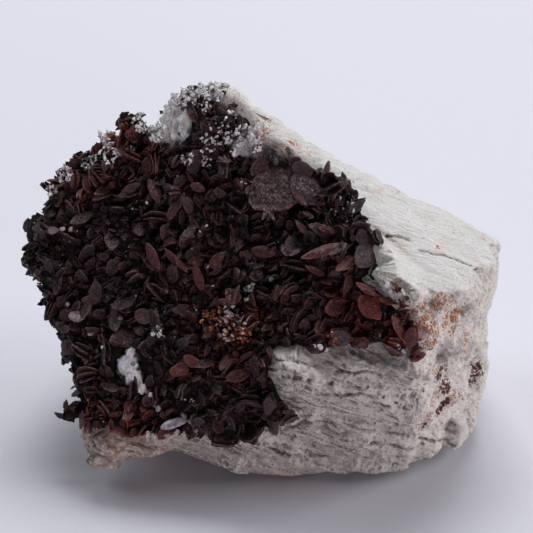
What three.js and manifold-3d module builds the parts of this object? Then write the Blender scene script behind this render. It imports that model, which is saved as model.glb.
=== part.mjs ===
// A hand specimen of siderite, in millimetres, +Z up, resting on a table at Z = 0.
//
// A broken chunk of pale, finely layered rock stands on its underside. Its big front face leans back and
// carries a druse of dark brown siderite: lens-shaped crystals grown together into one crust, most of them
// standing on edge. Patches of small quartz points, one pitted lump of calcite and one pale lens-shaped
// crystal grow among the dark ones, each in a pocket of the crust.
//
// Every solid starts from the rock's own surface. The rock is star-shaped: each direction from its heart
// meets the surface once, at rockRadius(direction). The crust is the layer between two such surfaces.
//
// Places on the front are given along the sight line, a line that looks down on the druse: millimetres to
// the right of the heart and above it, as in a drawing square on to that line.

import * as THREE from "three";
import { ImprovedNoise } from "three/addons/math/ImprovedNoise.js";
import { mergeVertices } from "three/addons/utils/BufferGeometryUtils.js";
import Module from "manifold-3d";

const wasm = await Module();
wasm.setup();

// ---------------------------------------------------------------- driving dimensions

const HEART_HEIGHT = 22.2; // of the rock's heart above the table
const EDGE_SHARPNESS = 50; // larger numbers give crisper edges between two faces
const ROCK_DETAIL = 10; // subdivisions of the icosahedron that the rock is made from
const CRUST_DETAIL = 6; // the same, for the outside of the crust

const LAYER_DIP = 22; // degrees that the rock's layers run down towards +X
const LEDGE_PITCH = 6.4; // spacing of the layers that stand out as ledges
const LEDGE_DEPTH = 1.3;
const LEDGE_WANDER = 1.4; // how far a ledge strays from a straight line
const LEDGE_WANDER_SIZE = 17; // over this distance
const LUMP_SIZE = 9; // broad unevenness of the broken faces
const LUMP_HEIGHT = 0.8;
const FOOT_LEVEL = 0.3; // up to this height over the table the rock has no ledges or lumps
const FOOT_BLEND = 2.5; // and above this height they are full size

const SIGHT_ELEVATION = 35; // degrees above the horizon of the sight line, which comes from -Y
const CONTACT_GAP = 0.3; // left between two pieces that touch
const CRUST_THICKNESS = 2.3; // of the massive siderite under the crystals
const CRUST_WRAP = 6; // how far behind the heart, along the sight line, the crust still runs
const CRUST_BACK_MARGIN = 0.4; // it stops this far short of the back face

const CRYSTAL_CANDIDATES = 3000; // places tried, evenly spread over the whole rock
const CRYSTAL_SPACING = 4.7; // least distance between two crystals' middles
const CRYSTAL_RADIUS = [1.6, 3];
const CRYSTAL_LIFT = 0.25; // how far a crystal's middle stands above the crust, over its radius
const CRYSTAL_TILT = [-0.2, 0.7]; // of its flat side: 0 stands on edge, 1 leans back by 45 degrees
const CRYSTAL_FLATNESS = 0.24; // thickness of a lens over its diameter
const CRYSTAL_DEPTH = 0.85; // its short width over its long one
const CRYSTAL_FOOT_CLEARANCE = 5; // the crystals stay this far above the table

const QUARTZ_THICKNESS = 1.5; // of the massive quartz under the points
const QUARTZ_POINT = { radius: 0.5, height: 1.1, tip: 0.8, sides: 6 };
const QUARTZ_SIZES = [0.8, 1.3]; // of the points, over the one above
const QUARTZ_SPREAD = 0.62; // how far the points stand from the middle of a patch, over its size
const QUARTZ_LEAN = 0.4; // 0 stands straight out of the rock
const POCKET_GAP = 0.35; // added all round a patch to give its pocket in the crust
const OVAL_CORNERS = 10; // of a patch's outline
const OVAL_UNEVENNESS = 0.14;
const PATCH_DEPTH = 3.5; // how far behind its middle, along the sight line, a patch still runs
const FRONT_LIMIT = 40; // further towards the viewer than anything on the front

// The rock's faces: the way each one looks, as a compass turn from +X and a rise above the horizon, both in
// degrees, and its distance from the heart in millimetres.
const ROCK_FACES = [
  { name: "druse face", turn: -111, rise: 39, distance: 10 },
  { name: "top", turn: 0, rise: 66, distance: 18.4 },
  { name: "top, lower right", turn: -25, rise: 62, distance: 19.6 },
  { name: "broken right end", turn: -43, rise: -2, distance: 27.8 },
  { name: "front under the druse", turn: -87, rise: -4, distance: 20.6 },
  { name: "left flank", turn: 174, rise: -31, distance: 25 },
  { name: "upper left shoulder", turn: 148, rise: 10, distance: 28.8 },
  { name: "peak, left side", turn: 113, rise: 37, distance: 21.4 },
  { name: "back, upper", turn: 68, rise: 28, distance: 14.4 },
  { name: "back, lower", turn: 95, rise: -30, distance: 17 },
  { name: "right, behind", turn: 3, rise: -4, distance: 31.4 },
  { name: "underside, right", turn: -20, rise: -87, distance: 22.9 },
  { name: "underside, front", turn: -112, rise: -73, distance: 25.4 },
  { name: "foot", turn: 0, rise: -90, distance: HEART_HEIGHT },
];

// Lumps of the broken rock, and hollows where the height is a minus. Their toward is a place along the sight
// line too: millimetres from the heart towards the viewer.
const ROCK_FEATURES = [
  { name: "peak", right: -7.5, up: 23, toward: 8, spread: 5.5, height: 5.4 },
  { name: "saddle left of the peak", right: -17, up: 21, toward: 1, spread: 4, height: -1.8 },
  { name: "nose under the druse", right: 3, up: -11, toward: 16, spread: 5, height: 1.4 },
  { name: "hollow left of the nose", right: -3, up: -19, toward: 10, spread: 5, height: -1.6 },
  { name: "notch in the right end", right: 29, up: -7, toward: 4, spread: 4, height: -1.6 },
  { name: "hollow under the right end", right: 18, up: -27, toward: 3, spread: 3, height: -1.2 },
  { name: "hollow under the left ledge", right: -12, up: -25, toward: 6, spread: 6, height: -3.5 },
  { name: "left ledge", right: -24, up: -23, toward: 5, spread: 5, height: 3 },
];

// Outline of the crust, looking along the sight line.
const CRUST_OUTLINE = [
  [-12.4, 28], [-8, 27.6], [-4.6, 25], [-2.8, 22], [-0.6, 19], [1.2, 15.6],
  [3.4, 15.6], [7.4, 13.6], [10.6, 12.4], [12.4, 9.6], [13.2, 7], [15, 3.6],
  [15.8, 0.6], [14.8, -1.8], [17.4, -3.8], [18.6, -6.4], [20.4, -9.8], [19.6, -11.6],
  [17.2, -10.6], [15.2, -9], [9.2, -9.4], [4.6, -9.8], [0.8, -9.8], [0.4, -13],
  [1.2, -15.8], [3.2, -18.6], [0.4, -20.4], [-3.6, -22.8], [-6, -22.4], [-9, -21.4],
  [-15.6, -21.6], [-23.2, -21], [-26, -19.5], [-34, -18], [-40, -4], [-40, 12],
  [-32, 22], [-22, 28],
];

// Crystals that stand out by their size. Each lens looks out of the face by lean degrees from lying flat on
// it, turned about the sight line by turn degrees.
const LARGE_LENSES = [
  { name: "plate", right: 3, up: 11.2, radius: 4.6, sides: 7, turn: 120, lean: 20, lift: 0.5 },
  { name: "plate's neighbour", right: 9, up: 9, radius: 3, sides: 6, turn: 40, lean: 30, lift: 0.4 },
  { name: "long lens", right: 8, up: 3.4, radius: 4, sides: 6, turn: 98, lean: 66, lift: 1.2 },
  { name: "lens below it", right: 7, up: -2.6, radius: 3, sides: 6, turn: 75, lean: 60, lift: 0.6 },
  { name: "red lens", right: 13.8, up: -4.4, radius: 2.7, sides: 6, turn: -170, lean: 30, lift: 1.2 },
  { name: "lens by the end", right: 17.6, up: -8.6, radius: 2.6, sides: 7, turn: 160, lean: 55, lift: 0.4 },
];

const QUARTZ_PATCHES = [
  { name: "quartz_peak", right: -13, up: 20.4, wide: 3.6, high: 2.8, points: 6 },
  { name: "quartz_shoulder", right: -1.8, up: 17.4, wide: 3, high: 2.3, points: 5 },
  { name: "quartz_left", right: -20.8, up: 17.4, wide: 2.8, high: 2, points: 5 },
];

// The lump of calcite is a chain of knobs, each with its middle above the crust by its lift.
const CALCITE_KNOBS = [
  { right: -18.2, up: -9.2, radius: 0.75, lift: 1.2 },
  { right: -18.5, up: -10.6, radius: 0.9, lift: 0.9 },
  { right: -18.9, up: -12.4, radius: 1.55, lift: 0.5 },
  { right: -18, up: -14.2, radius: 1.35, lift: 0.4 },
  { right: -16.9, up: -15.6, radius: 0.95, lift: 0.5 },
  { right: -15.8, up: -16.6, radius: 0.8, lift: 0.5 },
];
const CALCITE_PITS = [
  { right: -18.1, up: -12.1, radius: 0.32 },
  { right: -18.2, up: -9.1, radius: 0.3 },
];
const CALCITE_PIT = { depth: 3, lift: 2.4, flare: 1.4 };

const PALE_LENS = { right: -12.3, up: -20.2, radius: 2, sides: 7, turn: 102, lean: 50, lift: 0.5 };

// ---------------------------------------------------------------- directions and small helpers

const RAD = Math.PI / 180;
const GOLDEN_ANGLE = Math.PI * (3 - Math.sqrt(5));
const Y_AXIS = new THREE.Vector3(0, 1, 0);

function toward(turn, rise) {
  return new THREE.Vector3(
    Math.cos(rise * RAD) * Math.cos(turn * RAD),
    Math.cos(rise * RAD) * Math.sin(turn * RAD),
    Math.sin(rise * RAD),
  );
}

// The sight line's own axes: to the right, up, and towards the viewer.
const SIGHT_RIGHT = new THREE.Vector3(1, 0, 0);
const SIGHT_TOWARD = toward(-90, SIGHT_ELEVATION);
const SIGHT_UP = new THREE.Vector3().crossVectors(SIGHT_TOWARD, SIGHT_RIGHT);

function alongSight(right, up, towardViewer) {
  return new THREE.Vector3()
    .addScaledVector(SIGHT_RIGHT, right)
    .addScaledVector(SIGHT_UP, up)
    .addScaledVector(SIGHT_TOWARD, towardViewer);
}

const rockFaces = ROCK_FACES.map((face) => ({ ...face, normal: toward(face.turn, face.rise) }));
const backFace = rockFaces.find((face) => face.name === "back, upper");
const rockFeatures = ROCK_FEATURES.map((feature) => ({
  ...feature,
  place: alongSight(feature.right, feature.up, feature.toward),
}));
const layerNormal = toward(0, 90 - LAYER_DIP);
const noise = new ImprovedNoise();

function seededRandom(seed) {
  let state = seed;
  return () => {
    state = (state * 1664525 + 1013904223) % 4294967296;
    return state / 4294967296;
  };
}

const between = (random, [low, high]) => low + (high - low) * random();

// A closed three.js geometry as a manifold-3d solid.
function toSolid(geometry) {
  const bare = geometry.clone();
  for (const name of Object.keys(bare.attributes)) {
    if (name !== "position") bare.deleteAttribute(name);
  }
  const merged = mergeVertices(bare, 1e-4);
  return new wasm.Manifold(
    new wasm.Mesh({
      numProp: 3,
      vertProperties: new Float32Array(merged.attributes.position.array),
      triVerts: new Uint32Array(merged.index.array),
    }),
  );
}

function toGeometry(solid) {
  const mesh = solid.getMesh();
  const corners = new Float32Array(mesh.numVert * 3);
  for (let i = 0; i < mesh.numVert; i++) {
    corners.set(mesh.vertProperties.subarray(i * mesh.numProp, i * mesh.numProp + 3), i * 3);
  }
  const geometry = new THREE.BufferGeometry();
  geometry.setAttribute("position", new THREE.BufferAttribute(corners, 3));
  geometry.setIndex(new THREE.BufferAttribute(new Uint32Array(mesh.triVerts), 1));
  const faceted = geometry.toNonIndexed();
  faceted.computeVertexNormals();
  return faceted;
}

const joined = (solids) => wasm.Manifold.union(solids);

// A cut can leave chips that touch nothing: only the largest piece is the crystal crust.
function withoutChips(solid) {
  return solid.decompose().reduce((most, piece) => (piece.volume() > most.volume() ? piece : most));
}

// ---------------------------------------------------------------- the rock's surface

// Distance from the heart to the flat faces, with the edges between them a little rounded.
function facetRadius(direction) {
  let sum = 0;
  for (const { normal, distance } of rockFaces) {
    const facing = normal.dot(direction);
    if (facing > 0) sum += Math.pow(facing / distance, EDGE_SHARPNESS);
  }
  return Math.pow(sum, -1 / EDGE_SHARPNESS);
}

const unevenness = (point, size) => noise.noise(point.x / size, point.y / size, point.z / size);

// Layers that broke off a little further out than their neighbours: a sawtooth across the layering.
function ledge(point) {
  const height = (point.dot(layerNormal) + LEDGE_WANDER * unevenness(point, LEDGE_WANDER_SIZE)) / LEDGE_PITCH;
  return LEDGE_DEPTH * (height - Math.floor(height) - 0.5);
}

function lumpsAndHollows(point) {
  let height = LUMP_HEIGHT * unevenness(point, LUMP_SIZE);
  for (const feature of rockFeatures) {
    const away = point.distanceTo(feature.place) / feature.spread;
    height += feature.height * Math.exp(-away * away);
  }
  return height;
}

// The foot is left flat and level: nothing is added to it, and no lump hangs below it.
function rockRadius(direction) {
  const radius = facetRadius(direction);
  const point = direction.clone().multiplyScalar(radius);
  const aboveFoot = THREE.MathUtils.smoothstep(point.z + HEART_HEIGHT, FOOT_LEVEL, FOOT_BLEND);
  const rough = radius + aboveFoot * (lumpsAndHollows(point) + ledge(point));
  const toFoot = direction.z < 0 ? HEART_HEIGHT / -direction.z : Infinity;
  return Math.min(rough, toFoot);
}

// The closed surface that lies a given distance outside the rock's own.
function rockSurface(outset, detail = ROCK_DETAIL) {
  const geometry = new THREE.IcosahedronGeometry(1, detail);
  const position = geometry.attributes.position;
  const direction = new THREE.Vector3();
  for (let i = 0; i < position.count; i++) {
    direction.fromBufferAttribute(position, i).normalize();
    direction.multiplyScalar(rockRadius(direction) + outset);
    position.setXYZ(i, direction.x, direction.y, direction.z);
  }
  return geometry;
}

// The point of the front, a distance outside the rock's surface, that a sight line meets.
function onFront(right, up, outset) {
  let near = FRONT_LIMIT;
  let far = 0;
  for (let halving = 0; halving < 24; halving++) {
    const middle = (near + far) / 2;
    const point = alongSight(right, up, middle);
    const outside = point.length() > rockRadius(point.clone().normalize()) + outset;
    if (outside) near = middle;
    else far = middle;
  }
  return alongSight(right, up, near);
}

// ---------------------------------------------------------------- outlines along the sight line

const sightX = (point) => point.dot(SIGHT_RIGHT);
const sightY = (point) => point.dot(SIGHT_UP);
const sightDepth = (point) => point.dot(SIGHT_TOWARD);

function insideOutline(outline, x, y) {
  let inside = false;
  for (let i = 0, j = outline.length - 1; i < outline.length; j = i++) {
    const [xi, yi] = outline[i];
    const [xj, yj] = outline[j];
    const crosses = yi > y !== yj > y;
    if (crosses && x < ((xj - xi) * (y - yi)) / (yj - yi) + xi) inside = !inside;
  }
  return inside;
}

// An outline drawn square on to the sight line, swept from one depth to another along it.
function sweptOutline(outline, from, to) {
  const shape = new THREE.Shape(outline.map(([x, y]) => new THREE.Vector2(x, y)));
  const geometry = new THREE.ExtrudeGeometry(shape, { depth: to - from, bevelEnabled: false });
  geometry.translate(0, 0, from);
  geometry.applyMatrix4(new THREE.Matrix4().makeBasis(SIGHT_RIGHT, SIGHT_UP, SIGHT_TOWARD));
  return toSolid(geometry);
}

// An oval with uneven edges.
function ovalOutline({ right, up, wide, high }, extra) {
  return Array.from({ length: OVAL_CORNERS }, (_, i) => {
    const angle = (i / OVAL_CORNERS) * 2 * Math.PI;
    const uneven = 1 + OVAL_UNEVENNESS * Math.sin(3 * angle + right);
    const x = right + (wide * uneven + extra) * Math.cos(angle);
    const y = up + (high * uneven + extra) * Math.sin(angle);
    return [x, y];
  });
}

// ---------------------------------------------------------------- crystals

// A lens-shaped crystal with flat faces: two low pyramids, base to base.
function lensCrystal(radius, sides) {
  const lens = new THREE.SphereGeometry(radius, sides, 2);
  lens.scale(1, CRYSTAL_FLATNESS, CRYSTAL_DEPTH);
  return lens;
}

// Turns a shape's +Y to look along a direction, spins it about that, and moves it to a place.
function placed(geometry, place, looking, spin = 0) {
  const turn = new THREE.Quaternion().setFromUnitVectors(Y_AXIS, looking);
  const about = new THREE.Quaternion().setFromAxisAngle(Y_AXIS, spin);
  const matrix = new THREE.Matrix4().compose(place, turn.multiply(about), new THREE.Vector3(1, 1, 1));
  return geometry.applyMatrix4(matrix);
}

// Directions spread evenly over a sphere.
function evenDirections(count) {
  return Array.from({ length: count }, (_, i) => {
    const z = 1 - (2 * i + 1) / count;
    const across = Math.sqrt(1 - z * z);
    return new THREE.Vector3(across * Math.cos(GOLDEN_ANGLE * i), across * Math.sin(GOLDEN_ANGLE * i), z);
  });
}

function anyDirection(random) {
  return new THREE.Vector3(random() - 0.5, random() - 0.5, random() - 0.5).normalize();
}

function isCovered(place) {
  const high = place.z > CRYSTAL_FOOT_CLEARANCE - HEART_HEIGHT;
  const onTheBack = place.dot(backFace.normal) > backFace.distance;
  const wrapped = sightDepth(place) > -CRUST_WRAP;
  return high && wrapped && !onTheBack && insideOutline(CRUST_OUTLINE, sightX(place), sightY(place));
}

// The crystals that cover the crust, most of them on edge.
function growLenses() {
  const random = seededRandom(7);
  const lenses = [];
  const places = [];
  for (const direction of evenDirections(CRYSTAL_CANDIDATES)) {
    const radius = between(random, CRYSTAL_RADIUS);
    const outset = CRUST_THICKNESS + CRYSTAL_LIFT * radius;
    const place = direction.clone().multiplyScalar(rockRadius(direction) + outset);
    const crowded = places.some((other) => other.distanceTo(place) < CRYSTAL_SPACING);
    if (crowded || !isCovered(place)) continue;
    places.push(place);
    const sides = random() < 0.5 ? 5 : 6;
    const across = new THREE.Vector3().crossVectors(direction, anyDirection(random)).normalize();
    const looking = across.addScaledVector(direction, between(random, CRYSTAL_TILT)).normalize();
    const spin = random() * 2 * Math.PI;
    lenses.push(toSolid(placed(lensCrystal(radius, sides), place, looking, spin)));
  }
  return lenses;
}

// One crystal at a chosen place. Its flat side looks at the viewer, then leans away towards turn.
function growLens({ right, up, radius, sides, turn, lean, lift }, grown = 0) {
  const leaning = alongSight(
    Math.sin(lean * RAD) * Math.cos(turn * RAD),
    Math.sin(lean * RAD) * Math.sin(turn * RAD),
    Math.cos(lean * RAD),
  );
  const place = onFront(right, up, CRUST_THICKNESS + lift);
  return toSolid(placed(lensCrystal(radius + grown, sides), place, leaning, turn * RAD));
}

// A six-sided prism with a pointed end, its base at the origin and its point towards +Y.
function quartzPoint({ radius, height, tip, sides }, size) {
  const profile = [[0, -height], [radius, -height], [radius, height], [0, height + tip]];
  const points = profile.map(([x, y]) => new THREE.Vector2(x * size, y * size));
  return new THREE.LatheGeometry(points, sides);
}

// ---------------------------------------------------------------- the pieces

const rock = toSolid(rockSurface(0));
const clearOfRock = toSolid(rockSurface(CONTACT_GAP));

// Everything further back than the back face, and a distance more.
function spaceBehind(distance) {
  const size = 4 * FRONT_LIMIT;
  const slab = new THREE.BoxGeometry(size, size, size);
  const middle = backFace.normal.clone().multiplyScalar(backFace.distance + distance + size / 2);
  return toSolid(placed(slab, middle, backFace.normal));
}

// The column of space, along the sight line, that a patch fills; extra widens it all round.
function patchColumn(patch, extra) {
  const from = sightDepth(onFront(patch.right, patch.up, 0)) - PATCH_DEPTH;
  return sweptOutline(ovalOutline(patch, extra), from, FRONT_LIMIT);
}

function makeQuartz(patch) {
  const random = seededRandom(patch.points);
  const whole = toSolid(rockSurface(QUARTZ_THICKNESS, CRUST_DETAIL));
  const massive = whole.intersect(patchColumn(patch, 0)).subtract(spaceBehind(-CRUST_BACK_MARGIN));
  const points = Array.from({ length: patch.points }, (_, i) => {
    const away = QUARTZ_SPREAD * Math.sqrt(i / patch.points);
    const right = patch.right + away * patch.wide * Math.cos(GOLDEN_ANGLE * i);
    const up = patch.up + away * patch.high * Math.sin(GOLDEN_ANGLE * i);
    const place = onFront(right, up, QUARTZ_THICKNESS);
    const leaning = place.clone().normalize().addScaledVector(anyDirection(random), QUARTZ_LEAN).normalize();
    return toSolid(placed(quartzPoint(QUARTZ_POINT, between(random, QUARTZ_SIZES)), place, leaning));
  });
  return withoutChips(joined([massive, ...points]).subtract(clearOfRock));
}

// The chain of calcite knobs, each made larger by grown to cut their pocket.
function calciteKnobs(grown = 0) {
  const knobs = CALCITE_KNOBS.map(({ right, up, radius, lift }) => {
    const knob = new THREE.IcosahedronGeometry(radius + grown, radius > 1 ? 1 : 0);
    return toSolid(placed(knob, onFront(right, up, CRUST_THICKNESS + lift), SIGHT_TOWARD, up));
  });
  return joined(knobs);
}

function makeCalcite() {
  const pits = CALCITE_PITS.map(({ right, up, radius }) => {
    const pit = new THREE.CylinderGeometry(radius * CALCITE_PIT.flare, radius, CALCITE_PIT.depth, 6);
    return toSolid(placed(pit, onFront(right, up, CRUST_THICKNESS + CALCITE_PIT.lift), SIGHT_TOWARD));
  });
  return withoutChips(calciteKnobs().subtract(joined([clearOfRock, ...pits])));
}

function makeDruse() {
  const region = sweptOutline(CRUST_OUTLINE, -CRUST_WRAP, FRONT_LIMIT);
  const whole = toSolid(rockSurface(CRUST_THICKNESS, CRUST_DETAIL));
  const massive = whole.intersect(region).subtract(spaceBehind(-CRUST_BACK_MARGIN));
  const large = LARGE_LENSES.map((lens) => growLens(lens));
  const pockets = QUARTZ_PATCHES.map((patch) => patchColumn(patch, POCKET_GAP));
  const crust = joined([massive, ...growLenses(), ...large]);
  const calcitePocket = calciteKnobs(CONTACT_GAP);
  const lensPocket = growLens(PALE_LENS, CONTACT_GAP / CRYSTAL_FLATNESS);
  return withoutChips(crust.subtract(joined([clearOfRock, calcitePocket, lensPocket, ...pockets])));
}

function named(name, solid, colour, roughness) {
  const material = new THREE.MeshStandardMaterial({ color: colour, roughness, metalness: 0 });
  const mesh = new THREE.Mesh(toGeometry(solid), material);
  mesh.name = name;
  return mesh;
}

const pieces = [
  named("matrix_rock", rock, 0xc9c6c2, 0.85),
  named("siderite_druse", makeDruse(), 0x2a1d1a, 0.45),
  ...QUARTZ_PATCHES.map((patch) => named(patch.name, makeQuartz(patch), 0xd8d6de, 0.15)),
  named("calcite_lump", makeCalcite(), 0xd9d5dc, 0.5),
  named("pale_lens", withoutChips(growLens(PALE_LENS).subtract(clearOfRock)), 0xb9b3c0, 0.35),
];

// The specimen stands on the table, with the middle of its box over the origin.
const specimen = new THREE.Group();
specimen.add(...pieces);
const box = new THREE.Box3().setFromObject(specimen);
const middle = box.getCenter(new THREE.Vector3());
specimen.position.set(-middle.x, -middle.y, -box.min.z);

const part = new THREE.Group();
part.add(specimen);

export default part;
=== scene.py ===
# %% [markdown]
# # A hand specimen of siderite
#
# A collector's specimen, 66 mm across: a broken chunk of pale, finely layered rock, whose big front face is
# covered by a druse of dark brown siderite crystals shaped like small lenses. This lesson dresses the plain
# solids of the specimen, which are loaded first and stay the measure of everything: each piece below is
# grown from a copy of its solid, or stands on one.

import math
from functools import reduce

import bpy
import numpy as np
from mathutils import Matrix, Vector, kdtree, noise
from mathutils.bvhtree import BVHTree


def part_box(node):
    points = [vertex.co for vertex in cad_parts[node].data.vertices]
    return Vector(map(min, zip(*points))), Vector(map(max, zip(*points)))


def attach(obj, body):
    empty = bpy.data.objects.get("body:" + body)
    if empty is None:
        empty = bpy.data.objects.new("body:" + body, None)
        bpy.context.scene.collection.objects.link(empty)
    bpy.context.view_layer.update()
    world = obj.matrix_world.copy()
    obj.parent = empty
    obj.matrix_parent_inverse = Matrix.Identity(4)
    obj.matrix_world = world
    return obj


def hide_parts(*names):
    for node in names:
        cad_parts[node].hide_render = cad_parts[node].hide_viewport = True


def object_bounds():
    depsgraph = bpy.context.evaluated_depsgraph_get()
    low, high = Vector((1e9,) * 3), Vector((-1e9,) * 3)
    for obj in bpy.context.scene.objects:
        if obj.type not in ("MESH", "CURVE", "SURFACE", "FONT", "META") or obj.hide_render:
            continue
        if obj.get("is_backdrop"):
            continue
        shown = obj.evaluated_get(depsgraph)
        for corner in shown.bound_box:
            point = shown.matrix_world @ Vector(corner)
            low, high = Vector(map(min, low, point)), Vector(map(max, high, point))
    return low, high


noise.seed_set(1)  # unseeded, the noise vectors would be shifted by the clock

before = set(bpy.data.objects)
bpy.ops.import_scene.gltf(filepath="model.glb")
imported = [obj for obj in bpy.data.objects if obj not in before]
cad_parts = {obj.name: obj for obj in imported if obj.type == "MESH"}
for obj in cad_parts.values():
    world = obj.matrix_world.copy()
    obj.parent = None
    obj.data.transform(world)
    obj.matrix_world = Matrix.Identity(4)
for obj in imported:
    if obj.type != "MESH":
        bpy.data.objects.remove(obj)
cad_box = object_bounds()
bpy.ops.object.select_all(action="DESELECT")
print("solids:", ", ".join(sorted(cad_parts)))

# %% [markdown]
# ## The sight line
#
# The druse looks up and forwards, so it is best seen along a line that comes down on it by 35 degrees. Every
# place on the specimen is named as in a drawing square on to that line: millimetres to the right of the
# rock's heart, above it and towards the viewer. The heart is a point inside the rock, and it is found from
# the low corner of the rock's box, so that the places follow the rock wherever it is put.

# %% Places along the sight line
MM = 0.001
SIGHT_ELEVATION = math.radians(35)
HEART_FROM_CORNER = Vector((31.045, 20.739, 22.179)) * MM

RIGHT = Vector((1, 0, 0))
TOWARD = Vector((0, -math.cos(SIGHT_ELEVATION), math.sin(SIGHT_ELEVATION)))
UP = TOWARD.cross(RIGHT)
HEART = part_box("matrix_rock")[0] + HEART_FROM_CORNER


def along_sight(right, up, toward=0):
    return HEART + (RIGHT * right + UP * up + TOWARD * toward) * MM


print("heart at", [round(value / MM, 1) for value in HEART], "mm")

# %% [markdown]
# ## The camera
#
# A macro lens from a third of a metre away takes in a frame 72 mm wide. The camera could be aimed by a
# Track To constraint, but the sight line's angle is known, so one turn about X does it. Its depth of field
# stays off: the blur would hide the crystals that the rest of the lesson makes.

# %% Camera
VIEW_WIDTH = 72 * MM
VIEW_DISTANCE = 320 * MM
LENS = 100
VIEW_CENTRE = {"right": 0, "up": 1, "toward": 10}

aim = along_sight(**VIEW_CENTRE)
bpy.ops.object.camera_add(
    location=aim + TOWARD * VIEW_DISTANCE, rotation=(math.pi / 2 - SIGHT_ELEVATION, 0, 0)
)
camera = bpy.context.object
camera.name = "camera"
camera.data.lens = LENS
camera.data.sensor_width = LENS * VIEW_WIDTH / VIEW_DISTANCE
camera.data.clip_start = 0.01
bpy.context.scene.camera = camera
print("camera", round(VIEW_DISTANCE / MM), "mm away")

# %% [markdown]
# ## Helpers for modelling
#
# An operator works on what is selected, so each step first selects its own piece alone. A copy of a solid
# comes as loose triangles: merging its doubles gives one closed skin that a Remesh modifier can take.

# %% Modelling helpers
MERGE_DISTANCE = 0.002 * MM


def only(piece):
    bpy.ops.object.select_all(action="DESELECT")
    piece.select_set(True)
    bpy.context.view_layer.objects.active = piece
    return piece


def copy_of(node_name, name):
    """A copy of a solid, its loose triangles merged into one skin."""
    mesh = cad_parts[node_name].data.copy()
    mesh.materials.clear()
    piece = bpy.data.objects.new(name, mesh)
    bpy.context.collection.objects.link(piece)
    only(piece)
    bpy.ops.object.mode_set(mode="EDIT")
    bpy.ops.mesh.select_all(action="SELECT")
    bpy.ops.mesh.remove_doubles(threshold=MERGE_DISTANCE)
    bpy.ops.object.mode_set(mode="OBJECT")
    return piece


def modified(piece, kind, **settings):
    """Adds one modifier, sets it and applies it."""
    only(piece)
    modifier = piece.modifiers.new(kind.lower(), kind)
    for name, value in settings.items():
        setattr(modifier, name, value)
    bpy.ops.object.modifier_apply(modifier=modifier.name)
    return piece


def remeshed(piece, voxel, smoothing):
    """One even skin of small squares over the piece, its stair steps smoothed away."""
    modified(piece, "REMESH", mode="VOXEL", voxel_size=voxel * MM, use_smooth_shade=True)
    modified(piece, "SMOOTH", factor=0.5, iterations=smoothing)
    print(piece.name, len(piece.data.polygons), "faces")
    return piece


def points_of(piece, kind="co"):
    """An array of the piece's points, or of their normals."""
    points = np.empty(len(piece.data.vertices) * 3)
    piece.data.vertices.foreach_get(kind, points)
    return points.reshape(-1, 3)


def normals_of(piece):
    return points_of(piece, "normal")


def set_points(piece, points):
    piece.data.vertices.foreach_set("co", np.asarray(points, float).ravel())
    piece.data.update()


def triangles_of(*pieces):
    return sum(len(face.vertices) - 2 for piece in pieces for face in piece.data.polygons)


def skin_of(piece):
    """The piece's surface, ready to be asked for the nearest point or the first hit of a ray."""
    return BVHTree.FromObject(piece, bpy.context.evaluated_depsgraph_get())


def met_first(skins, right, up):
    """Where the sight line through a place meets the first of several skins, or None beside them all."""
    start = along_sight(right, up, 60)
    hits = [skin.ray_cast(start, -TOWARD) for skin in skins]
    hits = [hit for hit in hits if hit[0] is not None]
    if not hits:
        return None
    hit, normal, _, _ = min(hits, key=lambda found: found[3])
    return np.array(hit), np.array(normal)


def on_front(skins, right, up):
    """The same, but beside them all it is the nearest point of the first skin."""
    met = met_first(skins, right, up)
    if met is None:
        hit, normal, _, _ = skins[0].find_nearest(along_sight(right, up, 5))
        met = np.array(hit), np.array(normal)
    return met


# %% [markdown]
# ## Helpers for nodes
#
# Materials and relief are both built from texture nodes. Written out, a node tree is long and dull, so these
# few helpers each add one node, link what it needs and hand back its output. A socket knows which tree it
# belongs to, so a new node goes into the tree of its own inputs. The same helpers then serve a material, a
# node group and a Geometry Nodes tree, because all of them know the Math, Noise and Voronoi nodes.

# %% Node helpers
def is_socket(value):
    return isinstance(value, bpy.types.NodeSocket)


def node(kind, inputs, tree=None, **settings):
    """Adds a node to the tree of its inputs, or to the one given where no input is a socket."""
    if tree is None:
        tree = next(value.id_data for value in inputs.values() if is_socket(value))
    made = tree.nodes.new(kind)
    for name, value in settings.items():
        setattr(made, name, value)
    for name, value in inputs.items():
        if is_socket(value):
            tree.links.new(value, made.inputs[name])
        else:
            made.inputs[name].default_value = value
    return made


def calc(operation, *values):
    return node("ShaderNodeMath", dict(enumerate(values)), operation=operation).outputs[0]


def total(*values):
    return reduce(lambda result, value: calc("ADD", result, value), values)


def times(*values):
    return reduce(lambda result, value: calc("MULTIPLY", result, value), values)


def faded(value, low, high, start=0.0, end=1.0):
    """Rises smoothly from start to end while value goes from low to high."""
    inputs = {"Value": value, "From Min": low, "From Max": high, "To Min": start, "To Max": end}
    return node("ShaderNodeMapRange", inputs, interpolation_type="SMOOTHSTEP").outputs[0]


def clouds(place, size, detail=3.0, roughness=0.5):
    """Soft noise from 0 to 1, its blobs about size across."""
    scale = calc("DIVIDE", 1.0, size) if is_socket(size) else 1 / size
    inputs = {"Vector": place, "Scale": scale, "Detail": detail, "Roughness": roughness}
    return node("ShaderNodeTexNoise", inputs).outputs["Fac"]


def swell(place, size, height, detail=3.0, roughness=0.5):
    """The same noise as a height that goes as far below 0 as above it."""
    return calc("MULTIPLY_ADD", clouds(place, size, detail, roughness), 2 * height, -height)


def cells(place, size):
    return node("ShaderNodeTexVoronoi", {"Vector": place, "Scale": 1 / size})


def vector_math(operation, first, second=(0, 0, 0)):
    inputs = {0: first, "Scale" if operation == "SCALE" else 1: second}
    return node("ShaderNodeVectorMath", inputs, operation=operation)


def scaled(place, factors):
    return vector_math("MULTIPLY", place, factors).outputs[0]


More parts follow.
